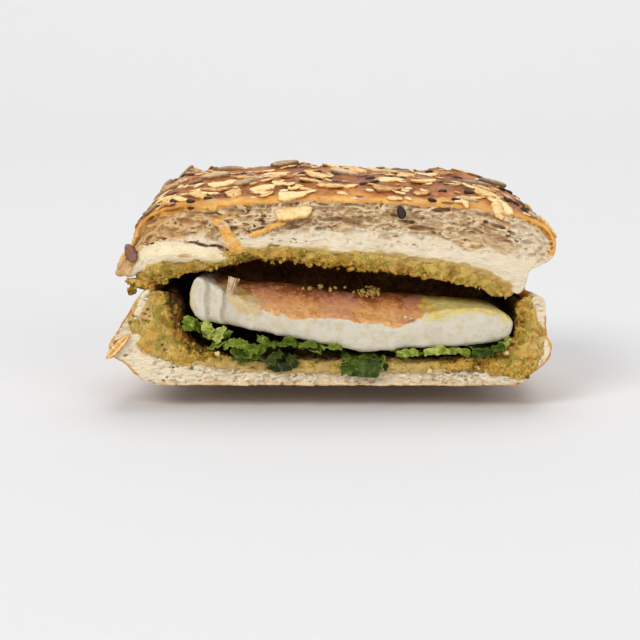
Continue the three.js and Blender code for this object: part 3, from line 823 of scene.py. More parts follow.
# Broken flakes and small seeds in the gaps, too small for the solids
def flakePlaces(rules, places):
    draw = np.random.default_rng(rules["seed"])
    found = []
    for _ in range(rules["tries"]):
        if len(found) == rules["count"]:
            break
        t = draw.uniform(*rules["shares"])
        y = draw.uniform(*rules["depths" if draw.random() < 0.75 else "frontDepths"])
        kind = rules["kinds"][draw.integers(len(rules["kinds"]))]
        size = draw.uniform(*rules["oatSizes"]) if halfOf(kind)[0] > 3 else rules["seedSize"]
        turn = draw.normal(0, rules["turn"])
        thinner = draw.random() < 0.5 * smoothstep(t, 0.5, 0.8)
        at = crustPoint(t, y)
        if not thinner and hasRoom(kind, size, at, places + found, rules["spacing"]):
            found.append((kind, t, y, turn, at, size))
    return found


# Where a seed lies on the crust: its middle, then the directions along it, across it and up
def seedFrame(t, y, turn):
    along = crustPoint(t + 0.004, y) - crustPoint(t - 0.004, y)
    deeper = crustPoint(t, y + 0.5) - crustPoint(t, y - 0.5)
    along /= np.linalg.norm(along)
    up = np.cross(along, deeper)
    up /= np.linalg.norm(up)
    lengthwise = along * math.cos(turn) + np.cross(up, along) * math.sin(turn)
    return crustPoint(t, y), np.stack([lengthwise, np.cross(up, lengthwise), up])


solidSeeds = seedPlaces(seedRules)
smallFlakes = flakePlaces(flakeRules, solidSeeds)
print(len(solidSeeds), "seeds and", len(smallFlakes), "flakes placed")


# Top bread: crust above, a torn crumb face at the cut, the pesto's ceiling below
topBreadLook = {
    "box": ((-66, 67), (-35, -27.5, 35), (24.5, 62.5)), "step": 0.32, "depthStep": 0.33, "backStep": 0.95,
    "skin": 0.9, "keep": 0.52, "longCells": 230, "shortCells": 1100, "roundPores": 700, "tear": 0.7,
    "fibreRelief": 0.8, "bed": 0.32, "blend": 0.4, "roughness": 0.2, "roughSize": 2.2, "salt": 61,
    "tongue": [(-42.5, -31.6, 38.9, 9.4, 2.8, 2.7, 0.0), (-35.2, -32.0, 37.9, 6.6, 2.0, 1.7, -0.06),
               (-49.4, -31.2, 38.4, 4.6, 2.3, 3.1, 0.2), (-40, -32.2, 39.9, 5.0, 1.6, 1.4, -0.12)],
    # Grooves carved above the tongue and along the pesto, painted dark as shadow lines
    "grooves": [(-39.8, -33.4, 42.0, 2.2, 1.8, 0.34, 0.1), (-36.6, -33.5, 41.4, 2.4, 2.3, 0.46, -0.25),
                (-33.0, -33.6, 41.0, 2.0, 2.9, 0.4, 0.05), (-30.9, -33.6, 40.3, 1.7, 3.0, 0.72, -0.5),
                (-28.9, -33.0, 39.3, 1.3, 3.0, 0.8, -0.6), (-18.6, -33.4, 40.2, 5.4, 1.9, 0.4, 0.2),
                (-25.2, -33.2, 39.4, 3.0, 2.2, 0.5, -0.1)],
    "gilded": [(-41.4, -33, 38.4, 2.9, 4, 0.85, 0.05), (-55.6, -32, 43.6, 1.4, 5, 4.6, -0.5),
               (-50.5, -32, 46.6, 4.4, 5, 0.7, 0.5), (-44, -32, 43.8, 3.4, 5, 0.5, 0.1),
               (-30, -32, 49.5, 5, 5, 0.7, 0.1)],
    "flakes": [(-31.4, -32.9, 47.5, 2.3, 0.9, 1.1, -0.3), (-29.7, -33.2, 45.4, 2.2, 1.0, 1.5, -0.9),
               (-28.9, -33.2, 43.2, 2.1, 1.0, 1.9, -1.2), (-27.6, -33.1, 41.3, 2.0, 1.0, 2.1, -0.9),
               (-26.5, -32.9, 39.8, 2.0, 0.9, 1.2, 0.1), (-30.9, -32.9, 43.0, 0.9, 0.8, 0.6, 0.3),
               (-20.9, -32.8, 44.6, 2.4, 0.8, 0.9, 0.3), (-17.5, -32.9, 46.0, 2.6, 0.8, 0.8, 0.45),
               (-14.4, -32.8, 47.3, 2.1, 0.7, 0.7, 0.35)],
    "heel": [(-59.0, -30.8, 34.8, 2.2, 2.0, 1.8, 0), (-57.2, -31.0, 33.2, 2.0, 1.9, 1.5, 0.3),
             (-60.1, -30.4, 33.0, 1.6, 1.7, 1.3, 0), (-56.6, -31.3, 36.4, 1.5, 1.2, 1.3, 0)],
    # Large hollows, carved and painted darker inside as painted shade
    "brownHollows": [(39.3, -32.4, 44.2, 2.9, 1.7, 0.85, -0.2), (48.0, -32.2, 42.1, 4.9, 1.9, 2.1, -0.38),
                     (27.0, -32.5, 46.9, 4.4, 1.2, 0.8, -0.05), (17.5, -32.6, 43.8, 3.6, 1.1, 1.0, 0),
                     (-20.5, -32.4, 44.6, 2.6, 1.4, 0.8, 0.5), (-31.5, -32.2, 43.2, 2.8, 1.3, 0.8, 0.1),
                     (-46.0, -32.2, 45.2, 3.0, 1.2, 0.7, 0.2), (3.0, -32.6, 45.4, 3.2, 1.1, 0.6, 0.05),
                     (-26.5, -32.6, 38.2, 2.6, 2.0, 1.1, 0.1)],
}


def crustHeightAtCut(x):
    line = alongCurve(topCrust, np.linspace(0, len(topCrust) - 3, 120))
    return np.interp(x, line[:, 0], line[:, 1])


def crustSlopeAtCut(x):
    return np.arctan((crustHeightAtCut(x + 2) - crustHeightAtCut(x - 2)) / 4)


def crumbHoles(look):
    draw = np.random.default_rng(5)
    sets = [np.array(look["brownHollows"])]
    for count, shortest, longest, flat, deepest in (
        (look["longCells"], 0.7, 2.6, 0.26, 1.3), (look["shortCells"], 0.35, 0.7, 0.42, 0.8)
    ):
        x = draw.uniform(-57.5, 62.5, count)
        z = crustHeightAtCut(x) - 0.7 - 9.2 * draw.random(count) ** 1.1
        long = shortest + longest * draw.random(count) ** 2.4
        high = long * flat * draw.uniform(0.6, 1.2, count) + 0.1
        tilt = crustSlopeAtCut(x) * 0.85 + draw.normal(0, 0.15, count)
        y = cutFaceY(x, z) + deepest * draw.uniform(-0.4, 1, count)
        sets.append(np.stack([x, y, z, long, 0.35 + long * 0.45, high, tilt], 1))
    count = look["roundPores"]
    x = draw.uniform(-60, 64, count)
    z = crustHeightAtCut(x) - 1 - 12 * draw.random(count)
    size = 0.24 + 0.3 * draw.random(count) ** 3 + 0.55 * smoothstep(x, 51, 58) * draw.random(count)
    y = cutFaceY(x, z) + draw.uniform(-0.2, 0.6, count)
    sets.append(np.stack([x, y, z, size * 1.5, size * 1.2, size, draw.normal(0, 0.3, count)], 1))
    return np.vstack(sets)


def tornFace(x, z, look):
    points = np.stack([x, np.zeros(x.shape), z - 0.6 * crustSlopeAtCut(x)], -1)
    warped = points.copy()
    warped[..., 2] += 0.9 * noiseAt(points, (4, 1, 2.5), 25)
    below = crustHeightAtCut(x) - z
    loose = smoothstep(below, 0.8, 2) * fading(below, 8, 11)
    fibre = np.abs(noiseAt(warped, (5.5, 1, 1.05), 31)) + 0.7 * np.abs(noiseAt(warped, (2.6, 1, 0.66), 41))
    relief = roughAt(points, (7, 1, 3.2), 21) * look["tear"]
    relief += look["fibreRelief"] * (loose + 0.3) * (fibre - 0.4)
    relief += 0.8 * np.maximum(0, noiseAt(points, (1.6, 1, 3), 45)) * fading(below, 0, 1.3)
    return cutFaceY(x, z) + relief


# How far the glaze rises round the seeds at points of the crust
def bedded(points, seeds):
    lift = np.zeros(len(points))
    for kind, t, y, turn, _, size in seeds:
        middle, axes = seedFrame(t, y, turn)
        long, wide, _ = (size * length for length in halfOf(kind))
        near = np.flatnonzero(np.max(np.abs(points - middle), axis=1) < long * 1.6)
        local = (points[near] - middle) @ axes.T
        away = np.sqrt((local[:, 0] / long) ** 2 + (local[:, 1] / wide) ** 2)
        lift[near] = np.maximum(lift[near], np.exp(-(((away - 0.9) / (0.5 / math.sqrt(wide))) ** 2)))
    return lift


# Where a bread is crust right up to its surface: behind the cut, but not inside the pocket
def crustBehind(cornersAt, vertices, y, inward, towardsPocket, salt):
    skin = fading(distanceFrom(lineOf(cornersAt), vertices), 0.5, 0.9)
    skin *= 1 - smoothstep(towardsPocket, 0.4, 0.8) * fading(y, -14, -6)
    depth = inward + 1.5 * noiseAt(vertices, 2.6, salt) + 0.9 * noiseAt(vertices, 1.1, salt + 1)
    return np.maximum(skin * smoothstep(depth, 1.6, 2.8), smoothstep(depth, 5, 6.5))


def roughOffBase(look):
    def amount(points):
        rough = roughAt(points, look["roughSize"], look["salt"], 2)
        return look["roughness"] * rough * smoothstep(points[:, 2], 0.6, 2)

    return amount


# A bread with its torn face. Its points come with their distances from its crust, its pocket and the cut, and
# with how far they count as outside
def breadForm(look, cornersAt, faceAt, holes, crustFrom, lumps=(), grooves=()):
    grid = gridOf(look)
    px, pz, _ = faceOf(grid)
    field = loftField(lineOf(cornersAt), breadDepths, grid)
    guard = -(field + look["skin"])
    field = cutAway(field, grid, faceAt(px, pz, look))
    carve(field, guard, grid, holes)
    for ball in lumps:
        addBall(field, grid, ball, look["blend"])
    carve(field, guard, grid, grooves)
    nudge(field, grid, 1.2, roughOffBase(look))
    vertices, faces = surfaceOf(field, grid)
    x, y, z = vertices.T
    fromCrust, fromPocket = (distanceFrom(lineOf(cornersAt, part), vertices) for part in (0, 2))
    inward = y - cutFaceY(x, z)
    closed = smoothstep(y, 21, 23)  # behind the pocket
    outside = smoothstep(inward, crustFrom, crustFrom + 1)
    outside = outside * np.maximum(smoothstep(-fromCrust, -1.5, -0.6), closed)
    return vertices, faces, fromCrust, fromPocket, inward, outside


def makeTopBread(look):
    lumps = look["heel"] + look["tongue"] + look["flakes"]
    vertices, faces, fromCrust, fromCeiling, inward, outside = breadForm(
        look, topCorners, tornFace, crumbHoles(look), 0.6, lumps, look["grooves"]
    )
    x, y, z = vertices.T
    normals = normalsOf(vertices, faces)
    below = crustHeightAtCut(x) - z

    # Wrinkled crust that rises round the seeds
    wrinkle = 0.24 * roughAt(vertices, (6, 3.5, 4), 71) - 0.3 * np.abs(noiseAt(vertices, (4.5, 1.8, 2.6), 75))
    wrinkle += 0.1 * noiseAt(vertices, (1.5, 0.9, 1.2), 79) + 0.1
    bed = np.zeros(len(x))
    onCrust = np.flatnonzero(outside > 0.1)
    bed[onCrust] = bedded(vertices[onCrust], solidSeeds + smallFlakes)
    vertices = vertices + normals * (outside * (wrinkle + look["bed"] * bed))[:, None]

    # What the paint reads. Hollow, cave and groove mark where it paints shade: in pores behind the cut, in
    # the shaded hollows and in the grooves' shadow lines
    groups = ("tongue", "brownHollows", "grooves", "gilded", "flakes")
    tongue, caves, grooves, gilded, flakes = (nearestSize(look[group], vertices) for group in groups)
    bandWidth = lerp(0.45, 1.5, smoothstep(x, 48, 61)) + 0.4 * noiseAt(vertices, (2.5, 4, 1.5), 89)
    bandWidth += 1.3 * smoothstep(-x, 20, 34) * fading(-x, 50, 58)
    nearFace = fading(inward + 3 * roughAt(vertices, (5, 3, 3), 85), 0.4, 3.6)
    deep = crustBehind(topCorners, vertices, y, inward, -normals[:, 2] * (z < 38), 87)
    lip = smoothstep(x, 50, 53) * fading(z + noiseAt(vertices, 2, 93), 36.8, 38.6) * (1 - deep)
    tornDepth = 8.5 + 3.5 * smoothstep(x, 24, 44) + 1.5 * smoothstep(-x, 20, 34)
    tornDepth += 1.4 * noiseAt(vertices, 6, 81)
    loose = fading(below - tornDepth, -1.5, 1.5) * fading(-tongue, -1.4, -1)
    loose *= 1 - 0.6 * smoothstep(x, 49, 54)
    toast = 0.36 - 0.1 * nearFace + 0.24 * smoothstep(z, 36, 52)
    soaked = fromCeiling - 0.5 * smoothstep(x, 5, 30) + 0.7 * noiseAt(vertices, (2.2, 2, 1.4), 95)
    stain = fading(soaked, 0.2, 2.8) * fading(inward, 1.5, 3.5)
    masks = {
        "crust": np.maximum(fading(fromCrust, bandWidth, bandWidth + 0.5), deep) * (1 - lip),
        "groove": fading(grooves, 0.9, 1.25), "flake": fading(flakes, 0.9, 1.3),
        "gilt": np.maximum(fading(gilded, 0.5, 1.2), 0.62 * smoothstep(-x, 18, 42) * loose),
        "cave": fading(caves, 0.8, 1.15),
        "band": nearFace * np.clip(0.75 + 0.6 * roughAt(vertices, (7, 2.5, 3), 91), 0, 1),
        "toast": toast - 0.25 * smoothstep(-x, 40, 60) + 0.16 * bed,
        "below": below, "loose": loose, "cream": fading(tongue, 1.05, 1.35),
        "hollow": smoothstep(inward, 0.4, 2.8) * (1 - outside) * (0.4 + 0.6 * loose),
        "stain": stain * smoothstep(tongue, 0.9, 1.2),
    }
    piece = makePiece("topBread", vertices, faces, masks, breadPaint("breadTop"))
    thinOut(piece, look["keep"])
    return piece


belongs(makeTopBread(topBreadLook), "top_bread", "crust")
print("top bread made")


# Bottom bread: a bowl with a thin floor, its cut face stained by pesto on both walls
bottomBreadLook = {
    "box": ((-66, 67), (-35, -28, 35), (-1.2, 31.6)), "step": 0.36, "depthStep": 0.36, "backStep": 1.1,
    "skin": 0.8, "keep": 0.5, "pores": 1700, "tear": 0.45, "roughness": 0.24, "roughSize": 1.9, "salt": 161,
    "bare": [(-53.6, -32.5, 25.4, 1.1, 3, 3.4, -0.42), (-55.2, -32.5, 21.6, 0.9, 3, 2.2, -0.5),
             (-56, -32.5, 14, 1.7, 3, 1.3, 0.1), (62.9, -32.5, 12.4, 1.2, 3, 4, -0.1)],
}


def breadPores(look):
    draw = np.random.default_rng(9)
    count = look["pores"]
    x = draw.uniform(-64, 64, count)
    floorLine = lineOf(bottomCorners, 2)(roll["cutY"])
    order = np.argsort(floorLine[:, 0])
    onWall = np.abs(x + 3) > 47
    top = np.where(onWall, 27, np.interp(x, floorLine[order, 0], floorLine[order, 1]))
    z = 0.9 + (top - 0.9) * draw.random(count)
    size = 0.26 + 0.5 * draw.random(count) ** 3
    y = cutFaceY(x, z) + draw.uniform(-0.1, 0.9, count)
    wide = size * draw.uniform(1.2, 2.4, count)
    return np.stack([x, y, z, wide, size * 0.9, size * 0.75, draw.normal(0, 0.2, count)], 1)


def wallFace(x, z, look):
    points = np.stack([x, np.zeros(x.shape), z], -1)
    relief = roughAt(points, (6, 1, 2.6), 121) * look["tear"]
    relief += 0.55 * (np.abs(noiseAt(points, (2.4, 1, 0.9), 131)) - 0.4)
    relief += 0.3 * (np.abs(noiseAt(points, (1, 1, 0.7), 135)) - 0.4)
    ragged = np.maximum(0, noiseAt(points, (1.1, 1, 3), 141))
    ragged += 0.6 * np.maximum(0, noiseAt(points, (0.5, 1, 2), 145))
    relief += 1.2 * ragged * fading(z, 0.5, 1.7)
    return cutFaceY(x, z) + 0.1 + relief


def makeBottomBread(look):
    vertices, faces, fromBase, fromFloor, inward, outside = breadForm(
        look, bottomCorners, wallFace, breadPores(look), 0.8
    )
    x, y, z = vertices.T
    normals = normalsOf(vertices, faces)
    deep = crustBehind(bottomCorners, vertices, y, inward, normals[:, 2], 187)
    wrinkle = 0.18 * roughAt(vertices, (5, 5, 2.2), 171)
    wrinkle += 0.12 * np.abs(noiseAt(vertices, (2.6, 2.6, 1), 175))
    vertices = vertices + normals * (outside * wrinkle * smoothstep(z, 0.5, 2.5))[:, None]
    vertices[:, 2] = np.maximum(vertices[:, 2], 0)

    # What the paint reads. Hollow marks where it paints shade, in the pores behind the cut
    rightReach = lerp(5.2, 0.6, smoothstep(z, 14, 20))
    reach = lerp(0.5, np.where(x < 0, 7.2, rightReach), smoothstep(z, 6, 10))
    bare = nearestSize(look["bare"], vertices)
    patchy = noiseAt(vertices, (1.6, 2, 0.8), 181)
    frontEdge = (inward < 0.8) * (z < 3)
    stain = fading(fromFloor, reach - 0.6, reach + 2) * smoothstep(bare, 0.8, 1.1)
    masks = {
        "crust": np.maximum(fading(fromBase + 0.5 * patchy, 0.25, 1), deep) * (1 - 0.5 * frontEdge),
        "band": 0.15 * fading(inward, 1.5, 7) + 0.7 * frontEdge,
        "toast": 0.2 + 0.25 * smoothstep(z, 6, 26) + 0.25 * patchy * fading(z, 0.4, 2),
        "base": 0.9 * fading(z, 1, 3.6) * smoothstep(inward, 0.2, 1.2), "below": z,
        "loose": 0.08 + 0.25 * smoothstep(np.abs(x), 45, 60),
        "hollow": 0.35 * smoothstep(inward, 0.5, 2.2) * (1 - outside),
        "cream": 0.25 + 0.35 * fading(bare, 0.8, 1.2),
        "gilt": 0.1 + 0.42 * fading(z, 0.8, 2.8),
        "stain": stain * fading(inward, 1, 2.2),
    }
    piece = makePiece("bottomBread", vertices, faces, masks, breadPaint("breadBottom"))
    thinOut(piece, look["keep"])
    return piece


belongs(makeBottomBread(bottomBreadLook), "bottom_bread", "crumb")
print("bottom bread made")


# Pesto: a grainy layer on the ceiling and one in the bowl, each smeared over the cut of its bread
pestoLook = {
    "step": 0.37, "depthStep": 0.37, "backStep": 1.5, "intoBread": 0.5, "keep": 0.62,
    "granule": 1.05, "granuleHeight": 0.85, "smearThickness": 0.36, "sag": 0.6, "grains": 120, "blend": 0.3,
    "depths": np.array([-34, -32, -29, -26, -22, -16, -10, -4, 2, 8, 12, 16]),
}
# The darkest shades, black and dark, come mostly where lit is low, as painted shade
pestoShades = {
    "black": (48, 30, 8), "dark": (92, 62, 14), "olive": (140, 104, 26), "gold": (190, 144, 44),
    "light": (220, 184, 96), "fleck": (74, 48, 14), "green": (128, 122, 26), "brown": (158, 92, 36),
    "grain": (232, 206, 128), "amber": (206, 146, 56), "soft": (206, 178, 120),
}


def bowlCorners(y):
    outer, right, _, left = bottomCorners(y)
    return [outer, right, left]


def alongLine(values, line):  # values that go with an outline's corners, at each point of the line
    return np.interp(np.arange(len(line)) / curveSteps, np.arange(len(values)), values)


def pestoField(look, grid):
    cornersAt, depths, cutY, salt = look["corners"], look["depths"], roll["cutY"], look["salt"]
    px, pz, points = faceOf(grid)
    pocket, bread, layers = lineOf(cornersAt, 2), lineOf(cornersAt), []
    for y in depths:
        stroke = strokeDistance(pocket(y), alongLine(look["thickness"], pocket(y)), px, pz)
        if cornersAt is bottomCorners:  # its walls are thinner than the stroke
            bowl = lineDistance(lineOf(bowlCorners)(y), px, pz, True)
            stroke = np.maximum(stroke, bowl + 2.2 * (y > -31))
        layers.append(np.maximum(stroke, -lineDistance(bread(y), px, pz, True) - look["intoBread"]))
    line = pocket(cutY)
    front = cutFaceY(px, pz) - 0.1 + look["slope"] * lineDistance(line, px, pz) ** 1.15
    field = cutAway(throughDepths(layers, depths, grid), grid, front)
    ragged = 1.1 * noiseAt(points, 2.6, salt + 40) + 0.9 * noiseAt(points, 1, salt + 41)
    smear = strokeDistance(line, alongLine(look["reach"], line), px, pz) + ragged
    smear = np.maximum(smear, lineDistance(bread(cutY), px, pz, True))
    slab = np.abs(grid[1][None, :, None] - cutFaceY(px, pz)[:, None, :] - 0.1) - look["smearThickness"]
    field = np.minimum(field, np.maximum(smear[:, None, :], slab)).astype(np.float32)
    return np.maximum(field, (grid[1] - depths[-1])[None, :, None].astype(np.float32))


# Grains that hang from the lower edge of the ceiling's pesto at the cut
def hangingGrains(count):
    draw = np.random.default_rng(19)
    line = lineOf(topCorners, 2)(roll["cutY"])
    place = draw.uniform(0, len(line) - 1, count)
    x, z = (np.interp(place, np.arange(len(line)), line[:, axis]) for axis in (0, 1))
    z = z - np.interp(place / curveSteps, np.arange(len(ceilingPesto)), ceilingPesto)
    z = z + draw.uniform(-0.5, 0.5, count)
    size = draw.uniform(0.35, 0.65, count)
    return np.stack([x, draw.uniform(-32.9, -30, count), z, size, size, size, draw.normal(0, 0.3, count)], 1)


def granules(look):
    size, salt = look["granule"], look["salt"]

    def amount(points):
        lumps, small = grainAt(points, size, salt) - 0.55, grainAt(points, size * 0.55, salt + 7) - 0.5
        sag = noiseAt(points, 5, salt + 3) + 0.7 * noiseAt(points, 2.1, salt + 5)
        return look["granuleHeight"] * lumps + 0.3 * small + look["sag"] * sag

    return amount


# Painted light and shade of each layer, read by its paint as lit: lighter towards the cut and in some
# patches, darker deeper in and in patches of painted shadow
def ceilingLit(x, y, z):
    return 0.85 * smoothstep(-y, 26, 31) + 0.35 * smoothstep(x, 5, 40) - 0.25 * np.exp(-(((x + 24) / 5) ** 2))


def bowlLit(x, y, z):
    lit = 0.14 + 0.5 * smoothstep(-y, 25, 31) - 0.28 * smoothstep(x, 26, 42) * (z < 9)
    lit += 0.18 * smoothstep(-y, 27, 31) * smoothstep(np.abs(x + 3), 36, 48)
    lit += 0.16 * smoothstep(-x, 44, 47) * smoothstep(-y, 18, 26)
    return lit + 0.2 * fading(z, 6, 9) * fading(np.abs(x + 4), 24, 34)


pestoLayers = [
    {"piece": "pestoTop", "node": "pesto_top", "corners": topCorners, "lit": ceilingLit, "salt": 200,
     "box": ((-60, 60), (-34.4, -28, 17.5), (24, 44)), "slope": 0.2, "thickness": ceilingPesto,
     "reach": [-0.2, -0.3, -0.3, -0.2, -0.1, -0.1, -0.3, -0.3, 0.7, 1.4], "bare": [],
     "balls": [(-54.4, -31.2, 29.6, 4.6, 1.5, 1.4, -0.3), (-56.6, -31.4, 27.8, 1.8, 1.1, 1.5, 0.3),
               *hangingGrains(pestoLook["grains"])]},
    {"piece": "pestoBottom", "node": "pesto_bottom", "corners": bottomCorners, "lit": bowlLit, "salt": 230,
     "box": ((-64, 64), (-34.4, -28, 17.5), (2, 31)), "slope": 0.38, "thickness": floorPesto,
     "reach": [-0.4, 0.6, 4, 6, 2.6, 0.1, -0.3, -0.3, -0.3, 0.1, 3.4, 7, 4.4, 1.6],
     "bare": bottomBreadLook["bare"],
     "balls": [(-45.6, -25, 21.6, 3.4, 4.2, 5.4, 0.15), (-46.4, -24, 16.4, 3.2, 4.6, 4, 0)]},
]


def pestoPaint():
    paint = Paint("pestoPaste", {
        "Subsurface Weight": 0.1, "Subsurface Scale": 0.001, "Subsurface Radius": (1, 0.7, 0.2),
        "Specular IOR Level": 0.22,
    }, pestoShades)
    mask, mix, over, between = paint.mask, paint.mix, paint.over, paint.between
    where, lit = paint.place(), mask("lit")
    grain = paint.cellShade(where, 1.4)
    fine, broad = paint.noise(where, 3.2, 4, 0.65), paint.noise(where, 0.2)
    coarse = paint.noise(where, 0.55, 3, 0.6)
    # Painted light and shade: lit lifts or lowers the tone, and the green and amber tints show only where it
    # is lit
    # gap takes the tone down in the dips between grains: painted shade
    tone = 0.5 * grain + 0.7 * fine + 1.3 * broad + 1.5 * coarse + lit - 0.25 * mask("gap") - 0.15
    paste = paint.ramp(tone, (0, "black"), (0.18, "dark"), (0.4, "olive"), (0.6, "gold"), (0.95, "light"))
    green = between(paint.noise(where, 0.3), -0.03, 0.12, 0.6)
    paste = mix(green * between(lit, 0.1, 0.5), paste, "green")
    paste = over(paste, "brown", paint.noise(where, 0.22), 0.02, 0.18, 0.55)
    amber = between(paint.noise(where, 0.16, 2), 0.02, 0.12, 0.6)
    paste = mix(amber * lit, paste, "amber")
    seeds = between(paint.cellShade(where, 1.15, 1), 0.74, 0.76)
    seeds = seeds * (1 - between(paint.cells(where, 1.15), 0.28, 0.42)) * between(tone, 0.2, 0.6)
    paste = mix(0.8 * seeds, paste, "grain")
    paste = mix(mask("soft") * between(coarse, -0.2, 0.1, 0.6), paste, "soft")
    paste = over(paste, "fleck", paint.noise(where, 1.5, 2, 0.7), 0.14, 0.2, 0.6)
    paint.wire("Base Color", paste)
    paint.wire("Roughness", 0.56 + 0.4 * fine)
    paint.bump(1.4 * fine + 0.6 * grain + 1.2 * seeds, 0.8, 0.35)
    return paint


def makePesto(look):
    grid = gridOf(look)
    field = pestoField(look, grid)
    for ball in look["balls"]:
        addBall(field, grid, ball, look["blend"])
    carve(field, np.full_like(field, 9), grid, look["bare"])
    nudge(field, grid, 1.8, granules(look))
    for axis in range(3):
        for end in (0, -1):
            field[tuple(end if a == axis else slice(None) for a in range(3))] = 1
    vertices, faces = surfaceOf(field, grid)
    x, y, z = vertices.T
    bread = lineOf(look["corners"])(roll["cutY"])
    pocket = smoothstep(lineDistance(bread, x, z, True), 0.2, 4)
    # lit is painted light and shade, lowered further from the bread out into the pocket
    masks = {
        "lit": look["lit"](x, y, z) + 0.12 - 0.55 * pocket,
        # gap darkens the dips between grains as painted shade
        "gap": smoothstep(grainAt(vertices, look["granule"], look["salt"]), 0.5, 0.85),
        "soft": fading(z, 6, 9) * fading(np.abs(x + 2), 28, 38),
    }
    piece = makePiece(look["piece"], vertices, faces, masks, pesto)
    thinOut(piece, look["keep"])
    return piece


pesto = pestoPaint()
for layer in pestoLayers:
    belongs(makePesto({**pestoLook, **layer}), layer["node"], "pesto")
print("pesto made")


# Cheese: a slab of white cheese, browned on top, broken in facets at its left end
cheeseLook = {
    "box": ((-44, 56), (-34, -26, 14.5), (7.5, 34.5)), "step": 0.42, "depthStep": 0.42, "backStep": 1.5,
    "frontY": -31.5, "backY": 13, "backRadius": 8, "bevelDepth": 12, "slope": 0.22, "middleZ": 17,
    "ridges": [(-41, 2.6), (-39.6, 1.2), (-35.9, 0), (-35.1, 2.2), (-31.5, 0.8), (-30.8, 2.9),
               (-24, 0.2), (-20.5, 0.9), (-16, 0.3), (-6, 0), (2, 0.5), (12, 0), (56, 0.3)],
    "tanFrom": -19.5, "tanTo": 27.5,
}
cheeseUnder = np.array([
    (-40.6, 23.4), (-38.6, 19.8), (-31, 17.6), (-19, 15.4), (-8, 13.2), (2, 11.2), (10, 9.8), (20, 10.8),
    (34, 11.2), (46, 12.6), (51.6, 14.2),
])
cheeseTopAtCut = np.array([
    (52.8, 18.4), (49.5, 21.6), (38, 22.6), (29, 21.2), (22, 17.6), (10, 19), (-2, 20.6), (-12, 20.4),
    (-24, 24.2), (-33, 28.6), (-38.4, 31.4),
])
cheeseTopInside = np.array([
    (52.2, 18.6), (48.6, 21.6), (38, 23.4), (30, 24.6), (22, 25.4), (10, 26), (-2, 26.8), (-12, 27.6),
    (-24, 29), (-33, 30.4), (-38, 31.2),
])
cheeseDepths = np.array([
    -33, -32, -30, -28, -26, -24, -22, -20, -18, -12, -6, 0, 5, 7, 8.5, 10, 11, 12, 12.6,
])


def cheeseLine(y):
    look = cheeseLook
    bevelEnd = roll["cutY"] + look["bevelDepth"]
    top = lerp(cheeseTopAtCut, cheeseTopInside, smoothstep(y, roll["cutY"], bevelEnd))
    t = np.clip((y - look["backY"] + look["backRadius"]) / look["backRadius"], 0, 0.98)
    rounded = math.sqrt(1 - t * t)
    lowering = look["slope"] * max(y - roll["cutY"] - look["bevelDepth"], 0)
    top[:, 1] -= lowering * smoothstep(top[:, 1], 18, 27)
    x, z = smoothOutline(np.vstack([cheeseUnder, top])).T
    return swell(np.stack([narrowed(x, y) * lerp(0.9, 1, rounded), lerp(look["middleZ"], z, rounded)], 1), y)


cheeseShades = {
    "white": (217, 209, 191), "warm": (210, 192, 156), "tan": (210, 144, 80), "brown": (138, 72, 32),
    "pale": (236, 186, 124), "olive": (194, 166, 56), "rosy": (196, 132, 104), "mottle": (216, 180, 100),
    "yellow": (228, 206, 92), "speck": (124, 94, 48),
}


def cheesePaint():
    paint = Paint("whiteCheese", {
        "Subsurface Weight": 0.3, "Subsurface Scale": 0.002, "Subsurface Radius": (1, 0.8, 0.6),
        "Specular IOR Level": 0.3,
    }, cheeseShades)
    mask, over = paint.mask, paint.over
    where = paint.place()
    broad, mottle, fine = paint.noise(where, 0.12), paint.noise(where, 0.5, 4, 0.6), paint.noise(where, 2)
    white = over("white", "warm", mottle, -0.08, 0.18, 0.7)
    white = over(white, "speck", paint.noise(where, 1.3, 2, 0.7), 0.2, 0.25, 0.6)
    tone = 0.75 + 0.5 * mottle + 0.7 * broad + 0.3 * fine - 0.45 * mask("deep")
    browned = paint.ramp(tone, (0.3, "brown"), (0.6, "tan"), (0.86, "pale"))
    browned = over(browned, "rosy", paint.noise(where, 0.07, 2) + 0.3 * mottle, 0, 0.12, 0.6)
    browned = over(browned, "pale", fine + 0.5 * mottle, 0.1, 0.2, 0.4)
    bits = paint.between(paint.noise(where, 1.1, 3, 0.7), 0.1, 0.16)
    browned = paint.mix(0.5 * bits, browned, "brown")
    tone = 0.5 + mottle + 0.5 * fine - 0.3 * mask("deep")
    mottled = paint.ramp(tone, (0.14, "brown"), (0.32, "tan"), (0.46, "mottle"), (0.62, "warm"))
    top = over(browned, mottled, mask("yellowed") + 1.2 * mottle, 0.2, 0.9)
    cheese = over(white, top, mask("browned") + mottle, 0.2, 0.8)
    sauce = over("olive", "yellow", mottle, -0.1, 0.1)
    cheese = over(cheese, sauce, mask("stained") + 1.2 * mottle + 0.6 * fine, 0.2, 0.9, 0.75)
    paint.wire("Base Color", cheese)
    paint.wire("Roughness", 0.55 - 0.1 * mask("browned") + 0.5 * fine)
    paint.bump(fine + mottle + 0.6 * bits * mask("browned"), 0.6, 0.4)
    return paint


